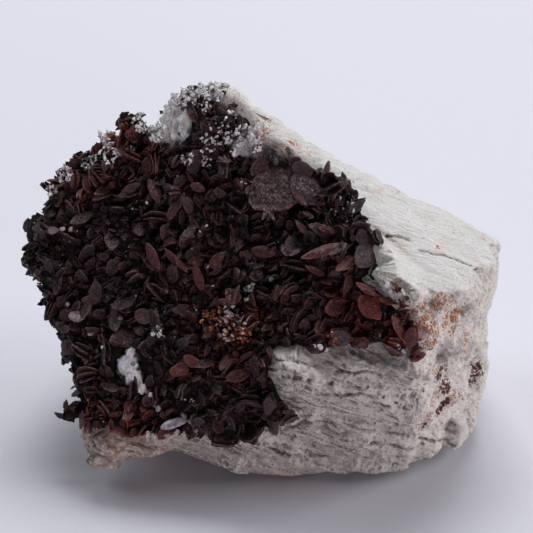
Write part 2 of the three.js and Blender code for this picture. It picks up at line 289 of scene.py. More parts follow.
def along(place, direction):
    """How far a place lies along a direction."""
    return vector_math("DOT_PRODUCT", place, direction).outputs["Value"]


# %% [markdown]
# The rock is layered, and most of its patterns follow the layers. They dip 22 degrees to the right, and the
# rock is also streaked along one direction within them. So its patterns are made in bedding coordinates:
# along the streaks, across them, and up through the layers.

# %% Bedding coordinates
LAYER_DIP = math.radians(22)
LAYER_NORMAL = Vector((math.sin(LAYER_DIP), 0, math.cos(LAYER_DIP)))
STREAK = Vector((0.914, 0.071, -0.397))
STREAK = (STREAK - LAYER_NORMAL * STREAK.dot(LAYER_NORMAL)).normalized()
ACROSS = LAYER_NORMAL.cross(STREAK)


def bedding(place):
    """Bedding coordinates of a place in the rock, both in millimetres."""
    ways = {"X": STREAK, "Y": ACROSS, "Z": LAYER_NORMAL}
    return node("ShaderNodeCombineXYZ", {axis: along(place, way) for axis, way in ways.items()}).outputs[0]


print("the streaks run down by", round(math.degrees(math.asin(-STREAK.z)), 1), "degrees")

# %% [markdown]
# Relief could come from Displace modifiers, one for each texture. A Geometry Nodes modifier adds up all the
# textures first and moves each point once, along its normal, and its masks can be worked out from the same
# numbers. Applied at once, it leaves a plain mesh.

# %% Relief
def normal_in(tree):
    return node("GeometryNodeInputNormal", {}, tree).outputs[0]


def relief(piece, height_of):
    """Moves each point of the piece out along its normal by height_of(tree, place, keep), in millimetres.

    keep(name, value) keeps a value at the points as an attribute, for a material to read."""
    tree = bpy.data.node_groups.new(piece.name + " relief", "GeometryNodeTree")
    for way in ("INPUT", "OUTPUT"):
        tree.interface.new_socket("Geometry", in_out=way, socket_type="NodeSocketGeometry")
    geometry = [tree.nodes.new("NodeGroupInput").outputs[0]]

    def keep(name, value):
        inputs = {"Geometry": geometry[0], "Name": name, "Value": value}
        stored = node("GeometryNodeStoreNamedAttribute", inputs, data_type="FLOAT", domain="POINT")
        geometry[0] = stored.outputs[0]

    position = node("GeometryNodeInputPosition", {}, tree).outputs[0]
    height = height_of(tree, vector_math("SCALE", position, 1 / MM).outputs[0], keep)
    shift = vector_math("SCALE", normal_in(tree), times(height, MM)).outputs[0]
    moved = node("GeometryNodeSetPosition", {"Geometry": geometry[0], "Offset": shift})
    tree.links.new(moved.outputs[0], tree.nodes.new("NodeGroupOutput").inputs[0])
    before = points_of(piece)
    modified(piece, "NODES", node_group=tree)
    bpy.data.node_groups.remove(tree)
    reach = np.linalg.norm(points_of(piece) - before, axis=1).max() / MM
    print(piece.name, "relief reaches", round(float(reach), 2), "mm")
    return piece


def facing_mask(normal, direction, low, high):
    """From 0 to 1 as a surface turns to look along a direction, low and high being cosines."""
    return faded(along(normal, direction), low, high)


def painted(tree, name):
    """A mask that was painted on the points of the piece, inside a Geometry Nodes tree."""
    made = node("GeometryNodeInputNamedAttribute", {"Name": name}, tree, data_type="FLOAT")
    return made.outputs["Attribute"]


def store(mesh, name, values):
    mesh.attributes.new(name, "FLOAT", "POINT").data.foreach_set("value", values.astype(np.float32))


def paint(piece, name, skin, spots):
    """Paints round spots with soft edges, each (right, up, radius, strength), as an attribute."""
    points = points_of(piece)
    mask = np.zeros(len(points))
    for right, up, radius, strength in spots:
        middle, _ = on_front([skin], right, up)
        away = np.linalg.norm(points - middle, axis=1) / (radius * MM)
        spot = strength * np.minimum(1, 1.6 * np.exp(-away * away))
        mask = np.where(np.abs(spot) > np.abs(mask), spot, mask)
    store(piece.data, name, mask)
    print(piece.name, name, "covers", round(float((np.abs(mask) > 0.5).mean() * 100), 1), "% of its points")
    return mask.astype(np.float32)


def measure_from(piece, name, skin, routes, furthest=3.0):
    """Stores how far each point is from the nearest of some routes over the skin, in millimetres."""
    points = points_of(piece)
    nearest = np.full(len(points), furthest * MM)
    for route in routes:
        marks = [on_front([skin], *place)[0] for place in route]
        for start, end in zip(marks, marks[1:]):
            run = end - start
            part = np.clip((points - start) @ run / (run @ run), 0, 1)
            nearest = np.minimum(nearest, np.linalg.norm(points - (start + part[:, None] * run), axis=1))
    store(piece.data, name, nearest / MM)
    print(piece.name, name, "follows", len(routes), "routes")


# %% [markdown]
# ## The rock
#
# The chunk is a fine-grained, slaty rock, pale grey and a little brown. Its top is a cleavage face, streaked
# and nearly smooth, and its front is broken across the layers, so the layers stand out as small wavy ledges.
# The solid has the big faces. A voxel Remesh turns a copy of it into an even skin of squares that is fine
# enough for the ledges. Under the crust and on the back nobody looks closely, so a Decimate modifier, steered
# by a vertex group, thins the skin there and leaves every square of the front.

# %% The rock's skin
ROCK_VOXEL = 0.2
UNDER_CRUST = 1.1
TURNED_AWAY = -0.12
BACK_THINNING = 0.5
SKIN_KEPT = 0.34

rock = copy_of("matrix_rock", "rock")
remeshed(rock, ROCK_VOXEL, smoothing=6)

druse_skin = skin_of(copy_of("siderite_druse", "druse_measure"))
covered = np.array([
    druse_skin.find_nearest(Vector(point), UNDER_CRUST * MM)[0] is not None for point in points_of(rock)
])
turned_away = normals_of(rock) @ np.array(TOWARD) < TURNED_AWAY
hidden = rock.vertex_groups.new(name="hidden")
hidden.add([int(i) for i in np.flatnonzero(turned_away)], BACK_THINNING, "REPLACE")
hidden.add([int(i) for i in np.flatnonzero(covered)], 1.0, "REPLACE")
modified(rock, "DECIMATE", ratio=SKIN_KEPT, vertex_group="hidden")
bpy.data.objects.remove(bpy.data.objects["druse_measure"])
print("rock", triangles_of(rock), "triangles")

# %% [markdown]
# Two shapes of this rock are finer than its solid. Beside the druse the streaked top runs on to the
# crystals as a thin lip, and under the druse a blunt nose of rock stands out into the light. They could be
# sculpted with a brush. Here soft round spots say where the skin moves towards the viewer: CARRIED_ON up to
# the level of the top, which is measured at the TOP_MARKS, and STEPPED_OUT by a number of millimetres.

# %% The lip and the nose
TOP_MARKS = [(22, 4), (25, 2), (20, 5), (23, 1)]
CARRIED_ON = [
    (14.6, 3, 1.5, 0.7), (15.6, 2.4, 1.5, 1), (16.4, 1.2, 1.6, 1), (17.4, 0.2, 1.6, 1), (18.4, -0.8, 1.6, 1),
    (15.4, 0.8, 1.7, 1), (16.4, -0.8, 1.7, 1), (17.6, -2, 1.7, 1), (18.8, -2.4, 1.4, 1),
]
FURTHEST_PUSH = 5.5
STEPPED_OUT = [
    (1, -12.9, 1.5, 3.6), (2.6, -13, 1.5, 4), (4.2, -13.3, 1.4, 3.6), (5.8, -13.7, 1.3, 2.6),
    (1.2, -11.2, 1.3, 2.6), (3, -11.4, 1.3, 2.8), (4.8, -11.8, 1.3, 2.4), (2, -10, 1, 1.4),
    (4, -10.2, 1, 1.4),
]

rock_skin = skin_of(rock)
carried_on = paint(rock, "carried_on", rock_skin, CARRIED_ON)
stepped_out = paint(rock, "stepped_out", rock_skin, STEPPED_OUT)
rock_points = points_of(rock)
top_level = np.mean([on_front([rock_skin], *mark)[0] @ np.array(LAYER_NORMAL) for mark in TOP_MARKS])
below_top = (top_level - rock_points @ np.array(LAYER_NORMAL)) / np.dot(LAYER_NORMAL, TOWARD)
pushed = carried_on * np.clip(below_top, 0, FURTHEST_PUSH * MM) + stepped_out * MM
set_points(rock, rock_points + pushed[:, None] * np.array(TOWARD))
rock_skin = skin_of(rock)
print("pushed out by up to", round(float(pushed.max()) / MM, 1), "mm")

# %% [markdown]
# Some marks belong to one place: the fluffy white rims beside the druse, painted whiter still as painted
# light on the nose, on the slope beside the druse and at the peak; the rust at the right end; a grey band of
# painted shadow under the crystals' overhang; grey painted shade in the hollows of the broken end; worn
# edges, hollows and knobs. They are soft round spots too, each (right, up, radius, strength) on the drawing
# along the sight line. The cracks are short routes. All are measured on the skin and kept as attributes of
# its points, so that the relief and the colour both know them. "sculpted" is a height in millimetres.

# %% Marks on the rock
MARKS = {
    # fluffy white rims; on the nose, the slope beside the druse and the peak the white is also painted light
    "fluffy_and_lit": [
        (2, -10.6, 2, 1), (2.5, -11.8, 2.2, 1), (4.5, -12.4, 2, 1), (6.4, -12.8, 1.4, 0.8),
        (-17.2, 21.2, 3, 1), (-4.2, 23.6, 2.4, 0.9), (-2, 21.8, 2, 0.9), (16, -1.4, 1.1, 1),
        (18.4, -3.2, 1.5, 1), (19.4, -6, 1.4, 0.9), (20.5, -10.3, 1.3, 0.8), (19.2, -13.2, 1.4, 0.6),
        (19.4, -19.7, 1.1, 0.7), (21, -21.3, 1.1, 0.7), (-21.4, -23.2, 0.9, 1), (-16, -23, 1, 0.7),
        (-22, -26, 2, 0.5), (11.4, -11.8, 1.3, 0.5), (14.8, 4, 1.3, 0.7), (15.6, 2, 1.4, 0.9),
        (16.6, 0.2, 1.4, 0.9), (0.5, -11.6, 1.2, 0.9), (24.6, -9.8, 1, 0.8), (26.6, -10.2, 0.9, 0.8),
    ],
    # a grey band of painted shadow under the crystals' overhang
    "shadow_band": [
        (9.1, -10.5, 0.5, 0.8), (10.3, -10.5, 0.5, 0.9), (11.4, -10.6, 0.5, 0.9), (12.6, -10.7, 0.6, 1),
        (13.8, -10.9, 0.7, 1), (14.9, -11.2, 0.8, 1), (16, -11.7, 1, 1), (17.1, -12, 0.9, 0.9),
        (18.1, -12.2, 0.6, 0.8),
    ],
    "rusty": [
        (21.4, -6.5, 1.6, 0.9), (22.5, -5.3, 1.1, 0.7), (25.3, -5.5, 1.1, 1), (24.8, -7.8, 1.2, 0.7),
        (27.2, -8.4, 1, 0.7), (20.4, -4.2, 0.9, 0.8), (21.4, -8.9, 1, 0.9), (20, -2.8, 0.6, 0.9),
        (23.1, -17, 1.2, 0.7), (21.8, -19.6, 1.4, 0.7), (25.8, -16.8, 1, 0.6), (23.1, 3.55, 0.35, 1),
        (17.3, 11.3, 1.3, 0.6), (2.9, 16.6, 1.3, 0.8), (5, 15.6, 1, 0.6), (-0.5, 19.4, 1.4, 0.8),
        (29.6, 5, 0.8, 0.5), (22.6, -12.6, 1.2, 0.6), (23, -3.6, 1.2, 0.8), (24, -6.2, 1.3, 0.9),
        (22.4, -8, 1.2, 0.8), (26, -9.4, 1, 0.6), (-4.3, 24.4, 0.7, 0.6), (-2.2, 23, 0.7, 0.6),
        (-0.6, 21.8, 0.7, 0.6), (1, 20, 0.9, 0.8), (19.6, -4.6, 1, 0.8), (20.2, -6.8, 1, 0.9),
        (24.2, -4.4, 1, 0.8),
    ],
    "dark_rusty": [
        (23.6, -13.6, 1.6, 1.05), (24.4, -15.4, 1.2, 1.1), (24.1, -18.6, 1, 1.9), (24.9, -17.6, 0.6, 1.6),
        (29.5, -13.8, 1.2, 1.1), (29, -15.4, 0.8, 1), (22.5, -17.4, 0.6, 1), (21.3, -9.7, 0.4, 1.3),
        (23.6, -11.2, 0.35, 1.3), (27.1, -22.7, 0.5, 1.2), (26.4, -4.2, 0.4, 0.9), (21.6, -20.8, 1, 0.7),
    ],
    # grey painted shade in the hollows of the broken end
    "shaded_hollows": [
        (22.1, -4.1, 1, 0.9), (24.9, -3, 1, 0.7), (27.3, -5.4, 1.1, 1), (25.4, -21.3, 1, 0.7),
        (25, -11.6, 1.1, 0.7), (29.2, -10.6, 0.8, 0.7), (19.8, -13.1, 0.6, 0.6), (16.8, -13.4, 0.6, 0.7),
        (18.4, 5.2, 0.8, 0.3),
    ],
    "mottled": [
        (-22.5, -23.6, 5, 1), (-17, -24, 4, 1), (-13, -23.5, 2.4, 0.8),
    ],
    "sculpted": [
        (23.8, -11.4, 0.9, -1.6), (25.6, -11.4, 0.9, -1.5), (28.8, -12.9, 1.2, -1.2), (29, -15, 1, -1.1),
        (24.2, -18.6, 0.8, -1.1), (24.6, -13.9, 0.8, -0.6), (27.3, -5.4, 1.2, -0.8), (22.1, -4.1, 0.9, -0.4),
        (21.8, -9, 0.8, 0.9), (24, -9.6, 0.9, 1.4), (25.8, -9.7, 0.9, 1.4), (27.4, -10, 0.8, 1.1),
        (25.4, -21.3, 0.9, -0.7), (27, -21, 0.9, 0.6), (23.8, -20.6, 0.8, 0.4), (26.6, -16.6, 1, 0.5),
        (1.5, -19.4, 1.6, -1.4), (4.5, -20.1, 1.2, -1.1), (7.5, -20.4, 0.9, -0.7), (12.4, -22.6, 2, 0.5),
        (17.5, -23.4, 2, 0.5), (22.5, -23.6, 1.8, 1.1), (26.2, -22.2, 1.8, 1.5), (28, -20.8, 1.5, 1.2),
        (20.4, -12.5, 1.2, 0.4), (20.2, -18, 1.4, 0.4), (-22.3, -23.6, 2, 2.4), (-23.4, -22.2, 1.6, 2.2),
        (-9.8, 23.4, 2, 2), (-12.3, 22, 1.6, 1), (-6.8, 23.6, 2, 1.1), (-4.5, 22.6, 2.2, 1.1),
        (-2, 20.9, 2.4, 1.3), (0.5, 19.2, 2.4, 1.3), (3, 17.6, 2.4, 1.3), (5.5, 16, 2.4, 1.2),
        (8, 14.8, 2.4, 1.1), (10.8, 13.4, 2.4, 1), (14, 12, 2.4, 0.8), (17, 11, 2.2, 0.5),
    ],
    "worn": [
        (16, 5, 3, 1), (18.5, 3, 3.4, 1), (20, 0.5, 3, 1), (22.5, -1, 2.5, 0.9), (14, 8, 3, 1),
        (25, 0.5, 3, 0.7), (11, 10.5, 3, 1), (19.4, -3.4, 1.5, 0.8), (-3, -25.8, 1.6, 1), (0, -26, 1.6, 1),
        (3, -26.2, 1.5, 1), (6, -26.3, 1.5, 1), (9, -26.3, 1.5, 1), (12, -26, 1.5, 1), (15, -25.4, 1.4, 0.9),
        (-8, -24.6, 1.5, 0.9), (-11, -24, 1.4, 0.8), (-3, 21.5, 3, 0.9), (0, 18.5, 2.4, 0.9),
    ],
}
CRACKS = [
    [(20.5, 3.2), (21.8, 2.8), (24.1, 2.4), (26.4, 1.6), (28.6, 0.7)], [(16, 5), (17.3, 5.1), (19, 4.6)],
    [(4.3, -15.4), (6.5, -16.1), (10.6, -16.3), (12.6, -16.1), (14.6, -16.8)],
    [(9, -13.1), (11.9, -13.3), (13.3, -13.1), (16.4, -13.9)], [(2.2, -13.4), (4.5, -13.8), (8.6, -14.6)],
    [(14, -17.3), (15, -17.6), (16.4, -17.9)], [(18.6, -13.7), (20, -13.9)],
    [(2.5, -21.2), (5.9, -20.5), (9.2, -20.5)], [(10.4, -20.2), (12.4, -20.8), (14.6, -21.4)],
    [(16, -21.4), (19, -22), (21.4, -22.6), (25, -23)], [(-0.6, -23.4), (2, -24.6), (4.5, -25)],
    [(6, -24.9), (8.2, -25)], [(8.6, -23.6), (9.6, -23.8)], [(14, -23), (18, -23.4), (20, -24)],
]
for mark, spots in MARKS.items():
    paint(rock, mark, rock_skin, spots)
measure_from(rock, "crack", rock_skin, CRACKS)

# %% [markdown]
# A ledge is a layer that broke off further out than the next. The height through the layers, bent a little by
# noise, is cut into steps of three millimetres and of one, and the bottom of each step is pressed in, because
# a real ledge has a dark corner behind it. Boldness comes and goes with larger noise. Near the table the
# relief fades to nothing, so the rock still rests on its flat foot.

# %% The rock's relief
COARSE_BED = 3.1
FINE_BED = 1.05
FOOT_FADE = (0.15, 1.6)
RIGHT_END = (0.73, -0.68, -0.03)


def cracked(beds, distance):
    """From 0 to 1 inside a crack, whose width comes and goes."""
    width = faded(clouds(scaled(beds, (0.5, 1, 1)), 1.1, 3, 0.6), 0.36, 0.62, 0.14, 0.42)
    wobble = swell(beds, 0.5, 0.12, 3, 0.7)
    return faded(calc("SUBTRACT", width, total(distance, wobble)), -0.05, 0.22)


def ledge(bed, height, corner_depth):
    part = calc("FRACT", bed)
    rise = calc("SUBTRACT", calc("POWER", part, 1.4), 0.45)
    corner = faded(part, 0.02, 0.2, corner_depth, 0)
    return calc("SUBTRACT", times(rise, height), corner)


def rock_height(tree, place, keep):
    beds = bedding(place)
    top = facing_mask(normal_in(tree), LAYER_NORMAL, 0.7, 0.93)
    end = facing_mask(normal_in(tree), RIGHT_END, 0.6, 0.85)
    bend = total(swell(beds, 9, 1.6, 2), swell(beds, 2.8, 0.5, 3), swell(beds, 0.9, 0.1, 2))
    through = total(along(beds, (0, 0, 1)), bend)
    coarse = calc("DIVIDE", through, COARSE_BED)
    fine = total(calc("DIVIDE", through, FINE_BED), swell(beds, 1.7, 0.3, 2))
    keep("coarse_bed", coarse)
    keep("fine_bed", fine)
    stretched = scaled(beds, (0.45, 0.8, 1))
    bold = faded(clouds(stretched, 3, 3), 0.38, 0.62, 0.12, 1)
    bold_fine = faded(clouds(stretched, 1.3, 3), 0.42, 0.62, 0.05, 1)
    ledges = total(times(ledge(coarse, 0.6, 0.34), bold), times(ledge(fine, 0.2, 0.2), bold_fine))
    sound = calc("SUBTRACT", 1.0, times(painted(tree, "worn"), 0.85))
    ledges = times(ledges, faded(top, 0, 1, 1, 0.1), faded(end, 0, 1, 1, 0.35), sound)
    ripple = clouds(scaled(beds, (0.14, 1, 1.2)), 0.9, 4, 0.6)
    crest = calc("ABSOLUTE", calc("MULTIPLY_ADD", ripple, 2.0, -1.0))
    streaks = times(calc("SUBTRACT", 0.15, crest), 0.3)
    hole = cells(scaled(beds, (0.5, 1, 1.8)), 0.8)
    chosen = calc("GREATER_THAN", hole.outputs["Color"], 0.66)
    holes = faded(hole.outputs["Distance"], 0.08, 0.36, -0.55, 0)
    holes = times(holes, chosen, faded(top, 0, 1, 1, 0), sound)
    broad = swell(place, 6, 0.35, 2)
    fluff = times(painted(tree, "fluffy_and_lit"), total(swell(place, 0.9, 0.6, 4, 0.75), 0.3))
    pits = faded(cells(place, 1.2).outputs["Distance"], 0.0, 0.4, -0.45, 0.0)
    pits = times(total(painted(tree, "dark_rusty"), times(painted(tree, "rusty"), 0.4)), pits)
    lumps = times(end, total(swell(place, 2.6, 0.8, 3, 0.6), swell(place, 0.9, 0.3, 3, 0.65)))
    rough = times(swell(place, 0.45, 0.14, 3, 0.7), faded(top, 0, 1, 1, 0.5))
    crack = times(cracked(beds, painted(tree, "crack")), faded(top, 0, 1, -0.35, -0.14))
    # the depth of the hollows is kept for the material, which paints shade in them
    keep("hollow", total(ledges, holes, crack, pits))
    height = total(ledges, streaks, holes, broad, fluff, pits, lumps, rough, crack, painted(tree, "sculpted"))
    over_foot = faded(along(place, (0, 0, 1)), *FOOT_FADE)
    return times(height, over_foot)


relief(rock, rock_height)
rock_points = points_of(rock)
rock_points[:, 2] = np.maximum(rock_points[:, 2], 0)
set_points(rock, rock_points)
rock_skin = skin_of(rock)

# %% [markdown]
# The rock's colour is a pale warm grey with paler and darker streaks along the grain, and rust where iron has
# seeped out at the right end. The dark lines in the corners of the ledges are painted shade, drawn from the
# numbers of the layers that the relief kept: they are smooth over the skin, so a line cut from them in the
# material is far sharper than the skin's squares. The cracks, pores and hollows of the relief get the same
# dark brown painted shade. A grainy bump gives the finest roughness.

# %% Material helpers
def new_material(name):
    """A material, its node tree and its Principled shader."""
    material = bpy.data.materials.new(name)
    material.use_nodes = True
    tree = material.node_tree
    tree.nodes.clear()
    surface = node("ShaderNodeBsdfPrincipled", {}, tree)
    tree.links.new(surface.outputs[0], tree.nodes.new("ShaderNodeOutputMaterial").inputs["Surface"])
    return material, tree, surface


def in_millimetres(tree):
    place = node("ShaderNodeTexCoord", {}, tree).outputs["Object"]
    return vector_math("SCALE", place, 1 / MM).outputs[0]


def mixed(factor, first, second):
    return node("ShaderNodeMix", {0: factor, 6: first, 7: second}, data_type="RGBA").outputs[2]


def mixed_value(factor, first, second):
    return node("ShaderNodeMix", {0: factor, 2: first, 3: second}, data_type="FLOAT").outputs[0]


def mask_of(tree, name):
    return node("ShaderNodeAttribute", {}, tree, attribute_name=name).outputs["Fac"]


def bumped(height, depth):
    """A normal from a height that goes from 0 to 1, depth being its reach in millimetres."""
    distance = times(depth, MM) if is_socket(depth) else depth * MM
    return node("ShaderNodeBump", {"Height": height, "Distance": distance, "Strength": 1.0}).outputs[0]


def connect(surface, links, **constants):
    """Sets the shader's constants on its sockets, and links what changes over the surface."""
    for name, value in constants.items():
        surface.inputs[name.replace("_", " ")].default_value = value
    for name, value in links.items():
        surface.id_data.links.new(value, surface.inputs[name])


def dressed(piece, material, solid):
    """Gives a finished piece its material, hangs it under the root and hides the solid that it stands for."""
    piece.data.materials.append(material)
    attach(piece, "root")
    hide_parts(solid)


# %% [markdown]
# Two effects come back in several of the minerals: a fine grain, which only turns the normal, and milky
# patches, which fade from one colour to another. They could be built anew in each material. As node groups
# with named sockets they are built once, and each mineral places them with values of its own.

# %% Effects that the minerals share
def new_effect(name, inputs, output, kind):
    """A node group with named inputs and one output, to be filled by the caller."""
    group = bpy.data.node_groups.new(name, "ShaderNodeTree")
    for label, socket_kind in inputs.items():
        group.interface.new_socket(label, in_out="INPUT", socket_type="NodeSocket" + socket_kind)
    group.interface.new_socket(output, in_out="OUTPUT", socket_type="NodeSocket" + kind)
    given = group.nodes.new("NodeGroupInput").outputs
    return group, given, group.nodes.new("NodeGroupOutput").inputs[0]


GRAIN_INPUTS = {"Place": "Vector", "Size": "Float", "Detail": "Float", "Roughness": "Float", "Depth": "Float"}
fine_grain, given, result = new_effect("fine grain", GRAIN_INPUTS, "Normal", "Vector")
height = clouds(given["Place"], given["Size"], given["Detail"], given["Roughness"])
fine_grain.links.new(bumped(height, given["Depth"]), result)

MILKY_INPUTS = {"Place": "Vector", "Size": "Float", "Dark": "Color", "Pale": "Color"}
milky_patches, given, result = new_effect("milky patches", MILKY_INPUTS, "Colour", "Color")
tone = faded(clouds(given["Place"], given["Size"], 4, 0.6), 0.35, 0.65)
milky_patches.links.new(mixed(tone, given["Dark"], given["Pale"]), result)


def grain(place, size, detail, roughness, depth):
    inputs = {"Place": place, "Size": size, "Detail": detail, "Roughness": roughness, "Depth": depth}
    return node("ShaderNodeGroup", inputs, node_tree=fine_grain).outputs["Normal"]


def milky(place, size, dark, pale):
    inputs = {"Place": place, "Size": size, "Dark": dark, "Pale": pale}
    return node("ShaderNodeGroup", inputs, node_tree=milky_patches).outputs["Colour"]


print("shared effects:", fine_grain.name, "and", milky_patches.name)

# %% The rock's colours
ROCK_PALE = (0.885, 0.88, 0.875, 1)
ROCK_GREY = (0.66, 0.655, 0.64, 1)
BROKEN_PALE = (0.98, 0.92, 0.88, 1)
BROKEN_GREY = (0.12, 0.085, 0.068, 1)
END_PALE = (0.98, 0.93, 0.88, 1)
END_GREY = (0.37, 0.33, 0.3, 1)
ROCK_BROWN = (0.42, 0.27, 0.19, 1)
ROCK_PEACH = (0.8, 0.63, 0.53, 1)
# white of the fluffy rims, used also as painted light on the nose, the slope and the peak
ROCK_WHITE_AND_LIGHT = (0.95, 0.92, 0.89, 1)
# grey of painted shade: the shadow band under the crystals and the hollows of the broken end
PAINTED_SHADE_GREY = (0.14, 0.13, 0.125, 1)
# dark brown of the painted shade in cracks, ledge corners, pores and hollows
CRACK_SHADE_COLOUR = (0.085, 0.055, 0.042, 1)
RUST = (0.52, 0.17, 0.05, 1)
DARK_RUST = (0.13, 0.035, 0.018, 1)


def bed_lines(beds, layer, size):
    """Painted shade: dark lines in the corners between layers, in pieces that come and go."""
    part = calc("FRACT", layer)
    line = times(faded(part, 0.0, 0.03), faded(part, 0.05, 0.2, 1, 0))
    pieces = faded(clouds(scaled(beds, (0.4, 0.8, 1)), size, 4, 0.65), 0.5, 0.6)
    return times(line, pieces)


def rock_pattern(tree, place, beds):
    """The colour of sound rock, before cracks and rust, and the mask of its broken faces."""
    normal = node("ShaderNodeNewGeometry", {}, tree).outputs["Normal"]
    broken = calc("SUBTRACT", 1.0, facing_mask(normal, LAYER_NORMAL, 0.35, 0.8))
    end = facing_mask(normal, RIGHT_END, 0.55, 0.85)
    streaks = faded(clouds(scaled(beds, (0.16, 0.8, 1.4)), 0.8, 5, 0.7), 0.34, 0.58)
    flecks = faded(clouds(scaled(beds, (0.3, 1, 1.2)), 0.5, 4, 0.8), 0.36, 0.52)
    specks = faded(clouds(place, 0.32, 3, 0.8), 0.34, 0.52)
    top_colour = mixed(total(times(streaks, 0.5), times(specks, 0.5)), ROCK_GREY, ROCK_PALE)
    front_tone = total(times(streaks, 0.3), times(flecks, 0.35), times(specks, 0.35))
    front_tone = faded(front_tone, 0.4, 1)
    front_tone = mixed_value(times(mask_of(tree, "worn"), 0.7), front_tone, 0.5)
    colour = mixed(broken, top_colour, mixed(front_tone, BROKEN_GREY, BROKEN_PALE))
    lumpy = faded(clouds(place, 1.1, 4, 0.7), 0.34, 0.5)
    end_tone = total(times(lumpy, 0.5), times(flecks, 0.2), times(specks, 0.3))
    colour = mixed(end, colour, mixed(faded(end_tone, 0.15, 0.8), END_GREY, END_PALE))
    patches = clouds(scaled(beds, (0.5, 0.8, 1)), 4, 5, 0.7)
    colour = mixed(faded(patches, 0.54, 0.7, 0, 0.5), colour, ROCK_PEACH)
    return colour, broken, end


# %% The rock's material
rock_material, tree, surface = new_material("layered rock")
place = in_millimetres(tree)
beds = bedding(place)
colour, broken, end = rock_pattern(tree, place, beds)
# Fluffy white rims, whiter also as painted light where the nose, the slope and the peak are lit
fluff = faded(clouds(scaled(beds, (0.5, 1, 1)), 0.34, 4, 0.8), 0.4, 0.5, 0.3, 1)
colour = mixed(times(mask_of(tree, "fluffy_and_lit"), fluff), colour, ROCK_WHITE_AND_LIGHT)
grains = faded(clouds(place, 0.36, 3, 0.8), 0.5, 0.57, 0, 0.8)
colour = mixed(times(mask_of(tree, "fluffy_and_lit"), grains, broken), colour, ROCK_BROWN)
# Painted shadow: a grey band under the crystals' overhang
shadow_band_breakup = faded(clouds(scaled(beds, (0.4, 1, 1)), 0.7, 4, 0.7), 0.3, 0.5, 0.5, 1)
colour = mixed(times(mask_of(tree, "shadow_band"), shadow_band_breakup, 0.9), colour, PAINTED_SHADE_GREY)
# Painted shade: dark brown in the ledge corners, cracks, pores and the hollows of the relief
coarse_lines = bed_lines(beds, mask_of(tree, "coarse_bed"), 2.2)
fine_lines = bed_lines(beds, mask_of(tree, "fine_bed"), 1.1)
lines = calc("MAXIMUM", coarse_lines, times(fine_lines, 0.75))
lines = times(lines, broken, faded(end, 0, 1, 1, 0.3))
crack = calc("MAXIMUM", lines, cracked(beds, mask_of(tree, "crack")))
pore = cells(scaled(beds, (0.5, 1, 1)), 0.5).outputs["Distance"]
pores = times(faded(pore, 0.1, 0.24, 1, 0), faded(clouds(beds, 2.2, 3), 0.5, 0.62), broken)
crack = calc("MAXIMUM", crack, times(pores, 0.7))
hollow = faded(mask_of(tree, "hollow"), -0.3, -0.9, 0, 0.7)
worn = faded(clouds(place, 0.35, 3, 0.75), 0.35, 0.6, 0.95, 0.55)
colour = mixed(calc("MAXIMUM", times(crack, worn), hollow), colour, CRACK_SHADE_COLOUR)
mottle = faded(clouds(place, 1.1, 5, 0.75), 0.42, 0.58)
colour = mixed(times(mask_of(tree, "mottled"), mottle, 0.85), colour, ROCK_BROWN)
orange = faded(clouds(place, 0.7, 4, 0.75), 0.56, 0.64)
colour = mixed(times(mask_of(tree, "mottled"), orange, 0.7), colour, RUST)
# Painted shade: grey in the hollows of the broken end
dull = faded(clouds(place, 0.7, 4, 0.7), 0.35, 0.55)
colour = mixed(times(mask_of(tree, "shaded_hollows"), dull, 0.75), colour, PAINTED_SHADE_GREY)

# %% Rust on the rock
flecks = total(clouds(place, 0.36, 3, 0.7), swell(place, 1.6, 0.12, 2))
dark_flecks = clouds(scaled(place, (1, 1, 0.7)), 0.42, 3, 0.7)
dark_flecks = total(dark_flecks, swell(place, 1.2, 0.1, 2))
stain = times(mask_of(tree, "rusty"), faded(clouds(place, 0.9, 4, 0.7), 0.45, 0.65), 0.4)
colour = mixed(stain, colour, RUST)
rust = total(flecks, times(mask_of(tree, "rusty"), 0.19), times(end, 0.035))
colour = mixed(faded(rust, 0.67, 0.72), colour, RUST)
dark_rust = total(dark_flecks, times(mask_of(tree, "dark_rusty"), 0.2), times(end, 0.02))
colour = mixed(faded(dark_rust, 0.66, 0.73), colour, DARK_RUST)
dust = times(faded(clouds(scaled(beds, (0.4, 1, 1)), 2.4, 4, 0.7), 0.58, 0.72), 0.3)
colour = mixed(dust, colour, ROCK_BROWN)
grit = total(clouds(place, 0.3, 4, 0.8), clouds(scaled(beds, (0.3, 1, 1)), 0.5, 4, 0.7))
connect(surface, {"Base Color": colour, "Normal": bumped(grit, 0.45)}, Roughness=0.82)
dressed(rock, rock_material, "matrix_rock")
print("the rock is dressed in", rock_material.name)

# %% [markdown]
# ## The druse
#
# Under the crystals lies a skin of massive siderite. Its solid carries about a hundred crystals that stand
# for the thousands of the real druse. Here the solid's copy is remeshed, and its outside is drawn in by a
# Shrinkwrap modifier to an even thickness over the rock, to leave room for deep dark gaps between the
# crystals that will stand on it. Along its left and upper left border the crust is thicker, so soft spots of
# a few millimetres, SWOLLEN, are added to its relief there. Remeshing can leave crumbs that hang on nothing,
# and a crystal could root on one of them, so only the crust's largest part is kept.

# %% The massive siderite
CRUST_VOXEL = 0.5
CRUST_THICKNESS = 1.2
OUTER_FROM = 0.2
FRONT_FROM = 0.6
KEPT_AT_EDGE = 0.1
SWOLLEN = [
    (-20.4, 19.6, 2, 1.4), (-22.5, 18.6, 2, 1.8), (-24.5, 17.5, 2, 1.6), (-28.5, 13.5, 2.5, 0.6),
    (-31, 9, 3, 0.8), (-32, 4, 3, 1.4), (-31.8, 1.5, 3, 1.5), (-30.5, -1.5, 2.5, 1.3), (-29, -6.5, 2.5, 1.1),
]


